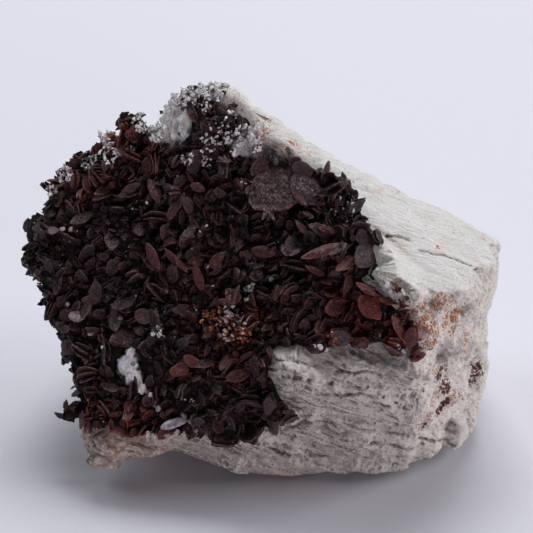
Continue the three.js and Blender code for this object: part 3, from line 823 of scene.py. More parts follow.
def height_over_rock(points):
    """How far each point is from the rock, and the outward direction there."""
    heights = np.empty(len(points))
    outward = np.empty((len(points), 3))
    for index, point in enumerate(points):
        near, _, _, distance = rock_skin.find_nearest(Vector(point))
        heights[index] = distance / MM
        away = point - np.array(near)
        outward[index] = away / max(np.linalg.norm(away), 1e-9)
    return heights, outward


def outer_side(piece, outward):
    """True for the points of a crust whose surface there looks away from the rock."""
    return np.einsum("nk,nk->n", normals_of(piece), outward) > OUTER_FROM


def largest_part(piece):
    """Cuts loose crumbs off the piece, so that nothing can stand on them."""
    only(piece)
    bpy.ops.mesh.separate(type="LOOSE")
    parts = sorted(bpy.context.selected_objects, key=lambda part: len(part.data.vertices), reverse=True)
    mesh = parts[0].data
    for part in parts:
        if part is not piece:
            if part is parts[0]:
                piece.data = mesh
            bpy.data.objects.remove(part)
    print(piece.name, "lost", len(parts) - 1, "loose crumbs")
    return only(piece)


crust = copy_of("siderite_druse", "siderite_crust")
remeshed(crust, CRUST_VOXEL, smoothing=4)
largest_part(crust)
_, crust_outward = height_over_rock(points_of(crust))
outside = crust.vertex_groups.new(name="outside")
towards_front = np.clip(normals_of(crust) @ np.array(TOWARD) / FRONT_FROM, 0, 1)
drawn_in = np.round((KEPT_AT_EDGE + (1 - KEPT_AT_EDGE) * towards_front) * outer_side(crust, crust_outward), 1)
for weight in np.unique(drawn_in[drawn_in > 0]):
    outside.add([int(i) for i in np.flatnonzero(drawn_in == weight)], float(weight), "REPLACE")
modified(
    crust, "SHRINKWRAP", target=rock, wrap_method="NEAREST_SURFACEPOINT", wrap_mode="OUTSIDE_SURFACE",
    offset=CRUST_THICKNESS * MM, vertex_group="outside",
)
modified(crust, "SMOOTH", factor=0.5, iterations=2)


def crust_height(tree, place, keep):
    return total(painted(tree, "swollen"), swell(place, 4, 0.7, 2), swell(place, 1.2, 0.35, 3))


paint(crust, "swollen", skin_of(crust), SWOLLEN)
relief(crust, crust_height)
crust_heights, crust_outward = height_over_rock(points_of(crust))
print("crust", triangles_of(crust), "triangles")

# %% [markdown]
# ### One crystal
#
# A siderite crystal here is a lens: thick in the middle and sharp at its rim. Seen flat on, some are nearly
# round and most are pointed ovals, like a leaf. It could be a UV sphere pressed flat, but that has poles and
# too many faces to repeat thousands of times. Rings of points around a middle give the same shape with a few
# dozen faces, and let each variant have its own outline, thickness and slight bend.

# %% Shapes of a lens
LENS_CORNERS = 10
LENS_RING = 0.62
LENS_RIM = 0.03
LENS_VARIANTS = 28
LEAF_SHARE = 0.65


def lens_points(random, corners=LENS_CORNERS, breadth=None):
    """Points of one lens of half-length 1 that lies in the XY plane, and how near each one is to the rim."""
    angles = (np.arange(corners) + random.uniform(-0.22, 0.22, corners)) / corners * 2 * math.pi
    leaf = random.random() < LEAF_SHARE if breadth is None else breadth < 0.66
    pointed = random.uniform(0.5, 1) if leaf else random.uniform(0, 0.25)
    if breadth is None:
        breadth = random.uniform(0.36, 0.62) if leaf else random.uniform(0.68, 0.95)
    thickness = random.uniform(0.13, 0.21)
    bend, saddle = random.uniform(-0.1, 0.1), random.uniform(-0.1, 0.1)
    x = np.cos(angles)
    round_side = np.sin(angles)
    leaf_side = np.sign(round_side) * (1 - np.abs(x) ** 1.7)
    y = breadth * (round_side * (1 - pointed) + leaf_side * pointed)
    wobble = 1 + random.normal(0, 0.085, corners)
    x, y = x * wobble, y * wobble + 0.06 * random.normal()
    warp = random.normal(0, 0.035, corners)
    shoulder = thickness * 0.75
    rings = []
    for radius, height in [(1, LENS_RIM), (1, -LENS_RIM), (LENS_RING, shoulder), (LENS_RING, -shoulder)]:
        heights = height + warp * radius + random.normal(0, 0.018, corners)
        rings.append(np.column_stack([x * radius, y * radius, heights]))
    ridge = random.uniform(-0.3, 0.3)
    middles = np.array([[ridge, 0, thickness], [-ridge, 0, -thickness]])
    points = np.vstack([*rings, middles])
    points[:, 2] += bend * points[:, 0] ** 2 + saddle * points[:, 0] * points[:, 1]
    rim = np.concatenate([np.ones(2 * corners), np.full(2 * corners, LENS_RING), [0, 0]])
    return points, rim


def lens_faces(corners=LENS_CORNERS):
    """The faces of a lens: a thin rim, and on each side a ring of squares round a fan of triangles."""
    faces = []
    rim_above, rim_below, above, below = (ring * corners for ring in range(4))
    top, bottom = 4 * corners, 4 * corners + 1
    for i in range(corners):
        j = (i + 1) % corners
        faces.append((rim_below + i, rim_below + j, rim_above + j, rim_above + i))
        faces.append((rim_above + i, rim_above + j, above + j, above + i))
        faces.append((rim_below + j, rim_below + i, below + i, below + j))
        faces.append((above + i, above + j, top))
        faces.append((below + j, below + i, bottom))
    return faces


shape_random = np.random.default_rng(3)
lens_variants = [lens_points(shape_random) for _ in range(LENS_VARIANTS)]
print("a lens has", len(lens_faces()), "faces")

# %% [markdown]
# The smallest crystals are only a few tenths of a millimetre long. They need no ring between the rim and the
# middle: two low cones on a thin rim are enough.

# %% Shapes of a scale
SCALE_CORNERS = 6
SCALE_VARIANTS = 12


def scale_points(random, corners=SCALE_CORNERS):
    angles = (np.arange(corners) + random.uniform(-0.3, 0.3, corners)) / corners * 2 * math.pi
    x = np.cos(angles)
    y = np.sin(angles) * random.uniform(0.45, 0.9)
    thickness = random.uniform(0.15, 0.3)
    above = np.column_stack([x, y, np.full(corners, 0.04)])
    below = np.column_stack([x, y, np.full(corners, -0.04)])
    middles = [[random.uniform(-0.3, 0.3), 0, thickness], [random.uniform(-0.3, 0.3), 0, -thickness]]
    return np.vstack([above, below, middles]), np.concatenate([np.ones(2 * corners), [0, 0]])


def scale_faces(corners=SCALE_CORNERS):
    faces = []
    for i in range(corners):
        j = (i + 1) % corners
        faces.append((corners + i, corners + j, j, i))
        faces.append((i, j, 2 * corners))
        faces.append((corners + j, corners + i, 2 * corners + 1))
    return faces


scale_variants = [scale_points(shape_random) for _ in range(SCALE_VARIANTS)]
print("a scale has", len(scale_faces()), "faces")

# %% [markdown]
# ### Where the crystals stand
#
# Crystals crowd each other out, so places are taken one at a time from a shuffled list, and each one clears
# the places around it. A few big crystals come first, then middling ones, and small ones fill the gaps. Each
# stands steeply on the crust, and its flat side turns with a slow noise field, so that neighbours fan out
# together as they do in a real druse. Iron has reddened some parts of it and others are nearly black: both
# are zones on the drawing, each (right, up, radius, strength), and so is one small patch of rust.

# %% Choosing places
CRYSTAL_LOWEST = 4.2
RUSTY_PATCH = (-3.6, -7.2)
RUSTY_PATCH_RADIUS = 3.6
REDDISH = [
    (14.5, -5.5, 6, 1), (19, -10, 4, 1), (-20.5, 20, 4.5, 1), (-27, 15, 5, 0.6), (-4, -11, 5, 0.35),
    (-22, -19, 6, 0.4), (-9, 1, 7, 0.3), (-18, -20.5, 4, 0.9),
]
# Zones where the crowd's crystals are painted darker; towards the left and the bottom of the druse this is
# painted shade
DARKER = [
    (-29, 4, 7, 0.45), (-25, -4, 7, 0.4), (-22, -13, 6, 0.45), (-13, -16, 6, 0.75), (-7, -16, 6, 0.8),
    (-3, -12, 5, 0.5), (-9.5, 20, 3.5, 0.8), (-3, 13, 3, 0.6), (8, 5, 5, 0.35), (12, 5, 3.5, 0.3),
]


def spaced(places, spacing, random):
    """Numbers of the places that stay when no two may be closer than spacing."""
    tree = kdtree.KDTree(len(places))
    for index, spot in enumerate(places):
        tree.insert(spot, index)
    tree.balance()
    free = np.ones(len(places), bool)
    chosen = []
    for start in random.permutation(len(places)):
        if not free[start]:
            continue
        chosen.append(start)
        for _, index, _ in tree.find_range(places[start], spacing * MM):
            free[index] = False
    return np.array(chosen)


def nearness(places, right, up, radius):
    """From 1 at a place on the drawing down to 0 well beyond its radius."""
    middle, _ = on_front([rock_skin], right, up)
    away = np.linalg.norm(places - middle, axis=1) / (radius * MM)
    return np.exp(-away * away)


def strongest(places, zones):
    mask = np.zeros(len(places))
    for right, up, radius, strength in zones:
        mask = np.maximum(mask, strength * nearness(places, right, up, radius))
    return mask


crust_points = points_of(crust)
open_places = outer_side(crust, crust_outward) & (crust_heights > 0.4)
open_places &= crust_points[:, 2] > CRYSTAL_LOWEST * MM
sites = crust_points[open_places]
site_outward = crust_outward[open_places]
print(len(sites), "places to choose from")

# %% [markdown]
# ### Many crystals in one mesh
#
# Thousands of separate objects would be slow, and instances are lost when the model is saved, so all the
# crystals of a size are written into one mesh from arrays: the variant's points, turned by each crystal's
# own three axes, scaled and moved. Three attributes go with them: how near a point is to its crystal's rim,
# a shade for each crystal, and how red it is.

# %% Growing crystals
def unit(vectors):
    return vectors / np.maximum(np.linalg.norm(vectors, axis=1, keepdims=True), 1e-9)


def mesh_from(name, points, faces, attributes):
    mesh = bpy.data.meshes.new(name)
    mesh.from_pydata(points.tolist(), [], faces)
    for label, values in attributes.items():
        store(mesh, label, values)
    mesh.update()
    piece = bpy.data.objects.new(name, mesh)
    bpy.context.collection.objects.link(piece)
    return piece


def joined_copies(name, variants, faces, choice, middles, axes, radii, attributes):
    """One mesh of many copies. axes holds three directions for each copy, the third across its flat side."""
    shapes = np.array([points for points, _ in variants])[choice]
    rims = np.array([rim for _, rim in variants])[choice]
    turned = np.einsum("npk,nkc->npc", shapes * radii[:, None, None] * MM, axes)
    points = (turned + middles[:, None, :]).reshape(-1, 3)
    per_copy = shapes.shape[1]
    all_faces = [
        tuple(index + copy * per_copy for index in face) for copy in range(len(choice)) for face in faces
    ]
    spread = {label: np.repeat(values, per_copy) for label, values in attributes.items()}
    return mesh_from(name, points, all_faces, {"rim": rims.ravel(), **spread})


def fan_field(places, size):
    """A direction at each place that turns slowly from one to the next."""
    return np.array([noise.noise_vector(Vector(spot) / (size * MM)) for spot in places])


def crystal_axes(outward, places, random, lean, disorder):
    count = len(places)
    field = unit(fan_field(places, 6)) + random.normal(0, disorder, (count, 3))
    across = unit(np.cross(outward, field))
    angle = np.radians(np.clip(random.normal(lean, LEAN_SPREAD, count), 5, 90))[:, None]
    flat = unit(across * np.sin(angle) + outward * np.cos(angle))
    first = unit(np.cross(flat, random.normal(0, 1, (count, 3))))
    second = np.cross(flat, first)
    return np.stack([first, second, flat], axis=1)


# %% [markdown]
# ### Large crystals
#
# The largest crystals catch the eye, so they are placed one by one, and the smaller ones keep out of their
# way.
# Each is a lens laid on the drawing along the sight line: its middle, its half-length, its breadth and the
# angle of its long axis are measured there. It leans back towards one side, its turn, and is raised off the
# crust. The broad plate near the top has corners of its own, because it is a broken slab with a pointed upper
# corner and no lens outline would give that.
#
# Small lenses also grow past the border of the crust: over the peak, on the rim of the broken end, and as a
# red cluster on the quartz at the upper left. They are strewn over round patches, each (right, up, radius,
# count, redness), and stand on whatever the sight line meets first there, be it crust, rock or quartz.

# %% Large crystals
LENS_WORDS = ("right", "up", "half", "breadth", "angle", "turn", "lean", "raise", "red", "shade")


def in_words(rows):
    """A dictionary for each row, its numbers named after the words above."""
    return [dict(zip(LENS_WORDS, row)) for row in rows]


LARGE_LENSES = in_words([
    (7.4, 3.3, 3.35, 0.3, 18, 100, 30, 2.2, 0.5, 1), (10.6, 1.6, 1.9, 0.5, 40, 60, 40, 0.9, 0.5, 0.5),
    (6.8, 0.3, 1.9, 0.32, -28, -70, 40, 0.9, 0.5, 0.7), (13.4, 2.6, 2, 0.92, 60, 30, 25, 0.7, 0, 0.75),
    (13.7, -4.5, 2.35, 0.62, -52, 45, 20, 1.6, 1, 1), (17.6, -7.4, 2.4, 0.4, -60, 30, 35, 1.2, 0.9, 0.7),
    (16.4, -3.6, 1.7, 0.5, -10, 90, 45, 1, 0.9, 0.6), (5.4, 11.5, 2.7, 0.78, -50, 75, 24, 0.9, 0, 0.55),
    (4.7, 9.8, 1.2, 0.42, -50, 60, 20, 2.4, 0.2, 1), (0.2, 8.4, 1.5, 0.4, 55, 100, 25, 1.9, 0.1, 0.6),
    (-29.6, 6.1, 1.25, 0.6, 0, 90, 25, 1, 0, 1.6), (-26, -5.8, 1.25, 0.8, -10, 90, 20, 1, 0, 2.2),
    (-11.7, -12.9, 1.5, 0.7, 10, 90, 20, 0.9, 0.9, 0.8), (-19.8, 16.4, 1.5, 0.5, 30, 90, 40, 0.7, 0.9, 0.5),
    (13.2, -2, 1.6, 0.5, -30, 60, 35, 1.2, 0.8, 0.5), (-9.5, 21, 1.9, 0.34, -42, 50, 35, 0.8, 0.5, 0.9),
    (-10.8, 25, 1.1, 0.5, 80, 140, 30, 0.6, 0, 0.2), (-9, 24.2, 1.3, 0.45, -60, 40, 35, 0.6, 0.1, 0.3),
    (-7.8, 23, 1.2, 0.5, -30, 70, 35, 0.6, 0, 0.3), (-1.2, 16.5, 1, 0.85, 60, 60, 25, 1.2, 0.2, 1.2),
    (4.8, 6.2, 1.6, 0.4, -50, 40, 30, 1, 0.3, 0.8), (-0.5, 2.9, 1.75, 0.6, -8, -90, 30, 0.8, 0.4, 0.9),
    (-15.4, 11.3, 2, 0.5, -68, 60, 25, 0.8, 0.2, 0.85), (-12.1, 9.2, 2.5, 0.34, 58, 150, 30, 1, 0.3, 0.7),
    (-10.6, 9.3, 1.45, 0.6, -80, 0, 20, 0.7, 0.1, 0.9), (-9.2, 11.7, 1.2, 0.6, -25, -90, 25, 0.9, 0.3, 0.9),
    (-15.4, 2.4, 2.25, 0.42, -65, 200, 25, 1, 0.5, 0.9), (-12.8, 2.2, 1.6, 0.42, -50, 220, 30, 1, 0.5, 0.7),
    (-11.6, 1.3, 1.6, 0.34, -50, 40, 35, 1.1, 0.5, 0.7), (-8.9, -0.4, 2.4, 0.36, -75, 190, 20, 1.3, 0.75, 1),
    (-16.6, -5.9, 1.45, 0.88, 10, 90, 18, 1, 0.2, 0.8), (-24.1, -3.6, 1.4, 0.62, 0, -90, 25, 0.8, 0.3, 0.8),
    (-25.4, 7.9, 2, 0.5, 25, 90, 30, 0.7, 0.1, 0.7), (-3.8, -13.6, 2, 0.5, 15, 60, 35, 0.8, 0.4, 0.5),
    (-10, -11.8, 1.5, 0.6, -30, -80, 25, 0.9, 0.8, 0.8),
])
PLATE = [
    (2.6, 15.8), (1, 15), (-0.6, 14), (-1.7, 12.9), (-2.2, 11.4), (-2.5, 9.6), (-1.6, 8.5), (0.6, 8.4),
    (2.8, 8.6), (4.4, 9.8), (4.5, 11.8), (3.9, 13.4), (3.4, 14.7),
]
PLATE_FACING = (110, 24)
PLATE_RAISE = 1.2
PLATE_THICKNESS = 0.45
LEAN_SPREAD = 24
STREWN = [
    (-9.3, 24.2, 1.9, 22, 0.1), (-7, 23.8, 1.3, 10, 0), (-11.6, 23.4, 1, 6, 0.3), (-5, 22.4, 1, 6, 0.1),
    (-8.2, 20.6, 1.8, 24, 0.2), (-5.6, 20.2, 1.5, 16, 0), (-8, 17.6, 2, 26, 0.1), (16.9, -1.6, 0.7, 4, 0.8),
    (17.6, -3.6, 0.8, 7, 0.9), (18.2, -5.4, 0.8, 8, 0.9), (14.4, -2.6, 1, 8, 0.7),
    (-21.6, 18.6, 1.8, 36, 1.6), (-19.6, 18.8, 1.6, 24, 1.6), (-23, 17.6, 1.2, 14, 1.4),
    (-28.6, 12.6, 1.6, 8, 0.5),
]


def facing(turn, lean):
    """A direction that looks at the viewer, then leans away by lean degrees towards turn."""
    turn, lean = math.radians(turn), math.radians(lean)
    aside = RIGHT * math.cos(turn) + UP * math.sin(turn)
    return TOWARD * math.cos(lean) + aside * math.sin(lean)


def laid_on(flat, right, up):
    """The offset in the plane across flat that looks like (right, up) along the sight line."""
    toward = -(flat.dot(RIGHT) * right + flat.dot(UP) * up) / flat.dot(TOWARD)
    return np.array(RIGHT * right + UP * up + TOWARD * toward)


def place_lenses(name, lenses, seed):
    random = np.random.default_rng(seed)
    shapes, axes, middles = [], [], []
    for lens in lenses:
        hit, _ = on_front([crust_skin, rock_skin], lens["right"], lens["up"])
        middles.append(hit + np.array(TOWARD) * lens["raise"] * MM)
        flat = facing(lens["turn"], lens["lean"])
        angle = math.radians(lens["angle"])
        first = laid_on(flat, math.cos(angle), math.sin(angle))
        axes.append([first, unit(np.cross(np.array(flat), first)[None])[0], np.array(flat)])
        shapes.append(lens_points(random, breadth=lens["breadth"]))
    attributes = {
        "shade": np.array([lens["shade"] for lens in lenses], float),
        "red": np.array([lens["red"] for lens in lenses], float),
        "rusty": np.zeros(len(lenses)),
    }
    halves = np.array([lens["half"] for lens in lenses])
    return joined_copies(
        name, shapes, lens_faces(), np.arange(len(lenses)), np.array(middles), np.array(axes), halves,
        attributes,
    )


def place_plate(name):
    """The slab, its corners laid on a plane that leans back under them."""
    corners = np.array(PLATE)
    middle = corners.mean(axis=0)
    flat = facing(*PLATE_FACING)
    hit, _ = on_front([crust_skin], *middle)
    centre = hit + np.array(TOWARD) * PLATE_RAISE * MM
    around = np.array([laid_on(flat, *(corner - middle)) for corner in corners]) * MM
    out = np.array(flat) * PLATE_THICKNESS * MM
    inner = around * LENS_RING
    rings = [around + out * 0.3, around - out * 0.3, inner + out * 0.8, inner - out * 0.8]
    points = np.vstack([*rings, [out], [-out]]) + centre
    count = len(corners)
    rim = np.concatenate([np.ones(2 * count), np.full(2 * count, LENS_RING), [0, 0]])
    full = np.ones(len(points))
    attributes = {"rim": rim, "shade": full * 0.45, "red": full * 0.15, "rusty": full * 0}
    return mesh_from(name, points, lens_faces(count), attributes)


def strewn(name, patches, skins, sizes, seed):
    """Lenses strewn over round patches, each standing on what the sight line meets first there."""
    random = np.random.default_rng(seed)
    met, reds = [], []
    for right, up, radius, count, red in patches:
        for _ in range(count):
            away, turn = radius * math.sqrt(random.random()), random.uniform(0, 2 * math.pi)
            found = met_first(skins, right + away * math.cos(turn), up + away * math.sin(turn))
            if found:
                met.append(found)
                reds.append(red)
    places, outward = (np.array(part) for part in zip(*met))
    count = len(places)
    axes = crystal_axes(outward, places, random, 50, 0.8)
    radii = random.uniform(*sizes, count)
    attributes = {
        "shade": random.uniform(0, 0.7, count), "rusty": np.zeros(count),
        "red": np.clip(np.array(reds) * random.uniform(0.5, 1.1, count), 0, 1),
    }
    choice = random.integers(0, len(lens_variants), count)
    middles = places + outward * (0.25 * radii * MM)[:, None]
    return joined_copies(name, lens_variants, lens_faces(), choice, middles, axes, radii, attributes)


crust_skin = skin_of(crust)
large_lenses = place_lenses("large_lenses", LARGE_LENSES, 11)
modified(large_lenses, "SUBSURF", levels=2, render_levels=2)
left_quartz = copy_of("quartz_left", "left quartz")
left_quartz_skin = skin_of(left_quartz)
bpy.data.objects.remove(left_quartz)
strewn_lenses = strewn("strewn_lenses", STREWN, [crust_skin, rock_skin, left_quartz_skin], (0.4, 1), 12)
plate = place_plate("plate_crystal")
modified(plate, "BEVEL", width=0.06 * MM, segments=1, limit_method="ANGLE")
modified(plate, "SUBSURF", subdivision_type="SIMPLE", levels=4, render_levels=4)


def plate_height(tree, place, keep):
    return total(swell(place, 2.2, 0.22, 3, 0.6), swell(place, 0.5, 0.07, 3, 0.6))


relief(plate, plate_height)
print(len(LARGE_LENSES) + 1, "large crystals and", sum(patch[3] for patch in STREWN), "strewn ones at most")

# %% [markdown]
# ### The crowd
#
# The other crystals grow by chance. How far a crystal's tip stands over the crust is chosen first, and the
# crystal is then sunk until its tip is there: so the druse keeps an even outline however its crystals turn,
# and where the tips are low the gaps between them are deep and dark. Many crystals have fellows, which are
# turned a little about the same long axis, like the pages of an open book. No crystal of the crowd may hide
# a large one, the pale lens, the calcite lump or a bright bit of bare rock: the places KEPT_CLEAR are ovals
# on the drawing too.

# %% Growing by chance
FELLOW_TURN = (14, 42)
FELLOW_SHIFT = (0.2, 0.4)
ROOTED = 1.45
EDGE_FROM, EDGE_TO = 0.05, 0.55
PEAK = (-9.5, 21, 4)
KEPT_CLEAR = in_words([
    (1.2, 12, 3.8, 0.85, 50), (-18.4, -9, 1.6, 0.6, 90), (-18.6, -12.4, 3.6, 0.8, -60),
    (16.9, 4.7, 1.2, 0.8, 0), (-33.8, 5.2, 1.3, 1, 0), (-12.4, -20, 2.6, 0.5, 16),
    (-29.2, -17.6, 2.2, 0.8, 0), (2.6, -11.9, 2.4, 0.9, 0),
])


def clear_of_large(places):
    """True where a place isn't hidden behind one of the large crystals or the pale ones."""
    offsets = places - np.array(HEART)
    right, up = offsets @ np.array(RIGHT) / MM, offsets @ np.array(UP) / MM
    clear = np.ones(len(places), bool)
    for lens in LARGE_LENSES + KEPT_CLEAR:
        angle = math.radians(lens["angle"])
        longwise = (right - lens["right"]) * math.cos(angle) + (up - lens["up"]) * math.sin(angle)
        crosswise = (up - lens["up"]) * math.cos(angle) - (right - lens["right"]) * math.sin(angle)
        clear &= np.hypot(longwise / lens["half"], crosswise / (lens["half"] * lens["breadth"])) > 0.9
    return clear


def with_fellows(axes, middles, radii, share, random):
    """The crystals together with the fellows of some of them, and the number of each one's first crystal."""
    numbers = np.flatnonzero(random.random(len(radii)) < share)
    turn = np.radians(random.uniform(*FELLOW_TURN, len(numbers))) * random.choice([-1, 1], len(numbers))
    first, second, flat = (axes[numbers, row] for row in range(3))
    turned_second = second * np.cos(turn)[:, None] + flat * np.sin(turn)[:, None]
    turned_flat = flat * np.cos(turn)[:, None] - second * np.sin(turn)[:, None]
    aside = random.uniform(*FELLOW_SHIFT, len(numbers)) * radii[numbers] * np.sign(turn) * MM
    fellow_axes = np.stack([first, turned_second, turned_flat], axis=1)
    fellow_middles = middles[numbers] - flat * aside[:, None]
    return (
        np.concatenate([axes, fellow_axes]), np.concatenate([middles, fellow_middles]),
        np.concatenate([radii, radii[numbers] * random.uniform(0.7, 1, len(numbers))]),
        np.concatenate([np.arange(len(radii)), numbers]),
    )


def grow(name, template, spacing, sizes, tips, lean, seed, fellows=0.0, part=None):
    """One mesh of crystals on the free places of the crust. part 0 or 1 takes every second crystal."""
    variants, faces = template
    random = np.random.default_rng(seed)
    chosen = spaced(sites, spacing, random)
    fine = nearness(sites[chosen], *RUSTY_PATCH, RUSTY_PATCH_RADIUS)
    turned_front = site_outward[chosen] @ np.array(TOWARD)
    turned_front = np.clip((turned_front - EDGE_FROM) / (EDGE_TO - EDGE_FROM), 0, 1)
    keeps = (random.random(len(chosen)) > fine * (sizes[0] > 0.7) * 1.3) & clear_of_large(sites[chosen])
    keeps &= turned_front >= (0.4 if sizes[0] > 1.3 else 0)
    keeps &= (sizes[0] < 0.8) | (nearness(sites[chosen], *PEAK) < random.random(len(chosen)))
    chosen, turned_front = chosen[keeps], turned_front[keeps]
    if part is not None:
        chosen, turned_front = chosen[part::2], turned_front[part::2]
    places, outward = sites[chosen], site_outward[chosen]
    radii = random.uniform(*sizes, len(chosen)) * (0.75 + 0.25 * turned_front)
    axes = crystal_axes(outward, places, random, lean, disorder=0.6)
    choice = random.integers(0, len(variants), len(chosen))
    shapes = np.array([points for points, _ in variants])[choice] * radii[:, None, None]
    reach = np.einsum("npk,nkc,nc->np", shapes, axes, outward).max(axis=1)
    crowd = np.array([0.5 + 0.5 * noise.noise(Vector(spot) / (4.5 * MM)) for spot in places])
    tip = random.uniform(*tips, len(chosen)) * (0.4 + 1.2 * crowd) * (0.6 + 0.4 * turned_front)
    tip = np.minimum(tip, ROOTED * reach)
    middles = places + outward * ((tip - reach) * MM)[:, None]
    number = np.arange(len(radii))
    for _ in range(2):
        axes, middles, radii, again = with_fellows(axes, middles, radii, fellows, random)
        number = number[again]
    count = len(number)
    fine = nearness(places, *RUSTY_PATCH, RUSTY_PATCH_RADIUS)[number]
    red = strongest(places, REDDISH)[number] * random.uniform(0.3, 1.3, count) + random.normal(0, 0.14, count)
    attributes = {
        "shade": random.random(count) * (1 - strongest(places, DARKER)[number]), "red": np.clip(red, 0, 1),
        "rusty": np.clip(fine * random.uniform(0.5, 1.3, count), 0, 1),
    }
    piece = joined_copies(name, variants, faces, choice[number], middles, axes, radii, attributes)
    print(name, count, "crystals")
    return piece


# %% [markdown]
# Four sizes are enough to look like many: big, middle and small lenses, and fine scales. The scales are so
# many that they are grown as two meshes, so that each stays under 200,000 triangles.

# %% Four sizes of crystals
lens_template = (lens_variants, lens_faces())
scale_template = (scale_variants, scale_faces())
crystals = [
    grow("big_lenses", lens_template, 2.9, (1.4, 2.2), (1.5, 2.8), 60, 21, fellows=0.6),
    grow("middle_lenses", lens_template, 1.6, (0.8, 1.4), (1.1, 2.6), 58, 22, fellows=0.5),
    grow("small_lenses", lens_template, 1.0, (0.45, 0.9), (0.8, 2.3), 52, 23, fellows=0.2),
    grow("fine_scales", scale_template, 0.6, (0.25, 0.5), (0.4, 1.3), 45, 24, fellows=0.2, part=0),
    grow("finer_scales", scale_template, 0.6, (0.25, 0.5), (0.4, 1.3), 45, 24, fellows=0.2, part=1),
]
print(triangles_of(*crystals), "triangles of crystals")

# %% [markdown]
# Siderite that has begun to rust is a dull mauve brown on its faces. The crust in the gaps is painted nearly
# black, its own dark colour deepened by painted shade, and the thin rims are painted lighter and red brown, a
# painted glow of the light that passes through them. The faces are finely rough, so they carry a soft grey
# sheen and a few sharp glints. Each crystal's shade and redness are read from its attributes.

# %% Siderite's material
SIDERITE_DARK = (0.018, 0.013, 0.016, 1)
SIDERITE_MAUVE = (0.09, 0.058, 0.07, 1)
SIDERITE_RED = (0.155, 0.025, 0.016, 1)
SIDERITE_RIM_GLOW = (0.18, 0.1, 0.095, 1)
SIDERITE_RED_RIM_GLOW = (0.32, 0.085, 0.04, 1)
SIDERITE_ORANGE = (0.42, 0.115, 0.04, 1)
SIDERITE_PEARLY = (0.32, 0.24, 0.27, 1)
FACET_SIZE = 0.2
FACET_TURN = 0.6
SHARPEST_SMOOTH = 32


def faceted(place, normal):
    """The normal of a surface that is a mosaic of tiny flat faces, each turned its own way."""
    turn = vector_math("SUBTRACT", cells(place, FACET_SIZE).outputs["Color"], (0.5, 0.5, 0.5)).outputs[0]
    turn = vector_math("SCALE", turn, FACET_TURN).outputs[0]
    return vector_math("NORMALIZE", vector_math("ADD", normal, turn).outputs[0]).outputs[0]


siderite, tree, surface = new_material("siderite")
place = in_millimetres(tree)
shade = mask_of(tree, "shade")
colour = mixed(calc("POWER", shade, 1.8), SIDERITE_DARK, SIDERITE_MAUVE)
colour = mixed(faded(shade, 1.2, 2.2), colour, SIDERITE_PEARLY)
colour = mixed(times(mask_of(tree, "red"), 0.85), colour, SIDERITE_RED)
blotch = clouds(place, 0.4, 5, 0.8)
colour = mixed(faded(blotch, 0.44, 0.66, 0, 0.75), colour, SIDERITE_DARK)
# Painted glow: the thin rims are lighter and red brown, for the light that passes through them
rim = calc("POWER", mask_of(tree, "rim"), 9)
rim = times(rim, faded(clouds(place, 0.8, 3, 0.7), 0.42, 0.6, 0.15, 0.9))
rim_glow_colour = mixed(mask_of(tree, "red"), SIDERITE_RIM_GLOW, SIDERITE_RED_RIM_GLOW)
colour = mixed(rim, colour, rim_glow_colour)
speckle = faded(clouds(place, 0.3, 2), 0.46, 0.6)
colour = mixed(times(mask_of(tree, "rusty"), speckle), colour, SIDERITE_ORANGE)
roughness = faded(clouds(place, 0.35, 3, 0.7), 0.35, 0.65, 0.2, 0.6)
glint = calc("LESS_THAN", cells(place, FACET_SIZE).outputs["Color"], 0.08)
roughness = calc("MINIMUM", roughness, faded(glint, 0, 1, 1, 0.1))
terraces = calc("FRACT", times(mask_of(tree, "rim"), 7))
height = total(times(terraces, 0.5), clouds(place, 0.4, 5, 0.75))
normal = faceted(place, bumped(height, 0.08))
connect(
    surface, {"Base Color": colour, "Roughness": roughness, "Normal": normal},
    Specular_IOR_Level=0.35, Specular_Tint=(1, 0.84, 0.87, 1),
)

crust_material, tree, surface = new_material("massive siderite")
place = in_millimetres(tree)
# Painted shade: the crust in the gaps is nearly black, its own dark colour deepened
tone = faded(clouds(place, 1.5, 5, 0.7), 0.4, 0.7)
colour = mixed(tone, (0.004, 0.003, 0.003, 1), (0.02, 0.01, 0.008, 1))
normal = grain(place, 0.3, 4, 0.7, depth=0.1)
connect(surface, {"Base Color": colour, "Normal": normal}, Roughness=0.7, Specular_IOR_Level=0.15)

dressed(crust, crust_material, "siderite_druse")
dark_crystals = [large_lenses, strewn_lenses, plate, *crystals]
for piece in dark_crystals:
    only(piece)
    bpy.ops.object.shade_smooth_by_angle(angle=math.radians(SHARPEST_SMOOTH))
    dressed(piece, siderite, "siderite_druse")
print(len(dark_crystals), "meshes of dark crystals share one material")

# %% [markdown]
# ## Quartz
#
# Small quartz crystals cover three patches like coarse sugar. Under them the solid's copy gives the milky
# mass they grow from. A quartz crystal is a six-sided prism with a six-sided point, and like the lenses it
# is repeated from arrays, here with a dozen flat faces each.

# %% Quartz points
QUARTZ_SIDES = 6


def quartz_shape(random):
    """A quartz point along +Z: a prism from -1 to 1 and a pointed end above it, one radius wide."""
    angles = np.arange(QUARTZ_SIDES) / QUARTZ_SIDES * 2 * math.pi
    ring = np.column_stack([np.cos(angles), np.sin(angles)]) * random.uniform(0.8, 1.15, (QUARTZ_SIDES, 1))
    low = np.column_stack([ring, np.full(QUARTZ_SIDES, -1.2)])
    high = np.column_stack([ring * 0.94, random.uniform(0.5, 0.9, QUARTZ_SIDES)])
    tip = [[random.uniform(-0.15, 0.15), random.uniform(-0.15, 0.15), random.uniform(1.5, 2)]]
    return np.vstack([low, high, tip]), np.zeros(2 * QUARTZ_SIDES + 1)


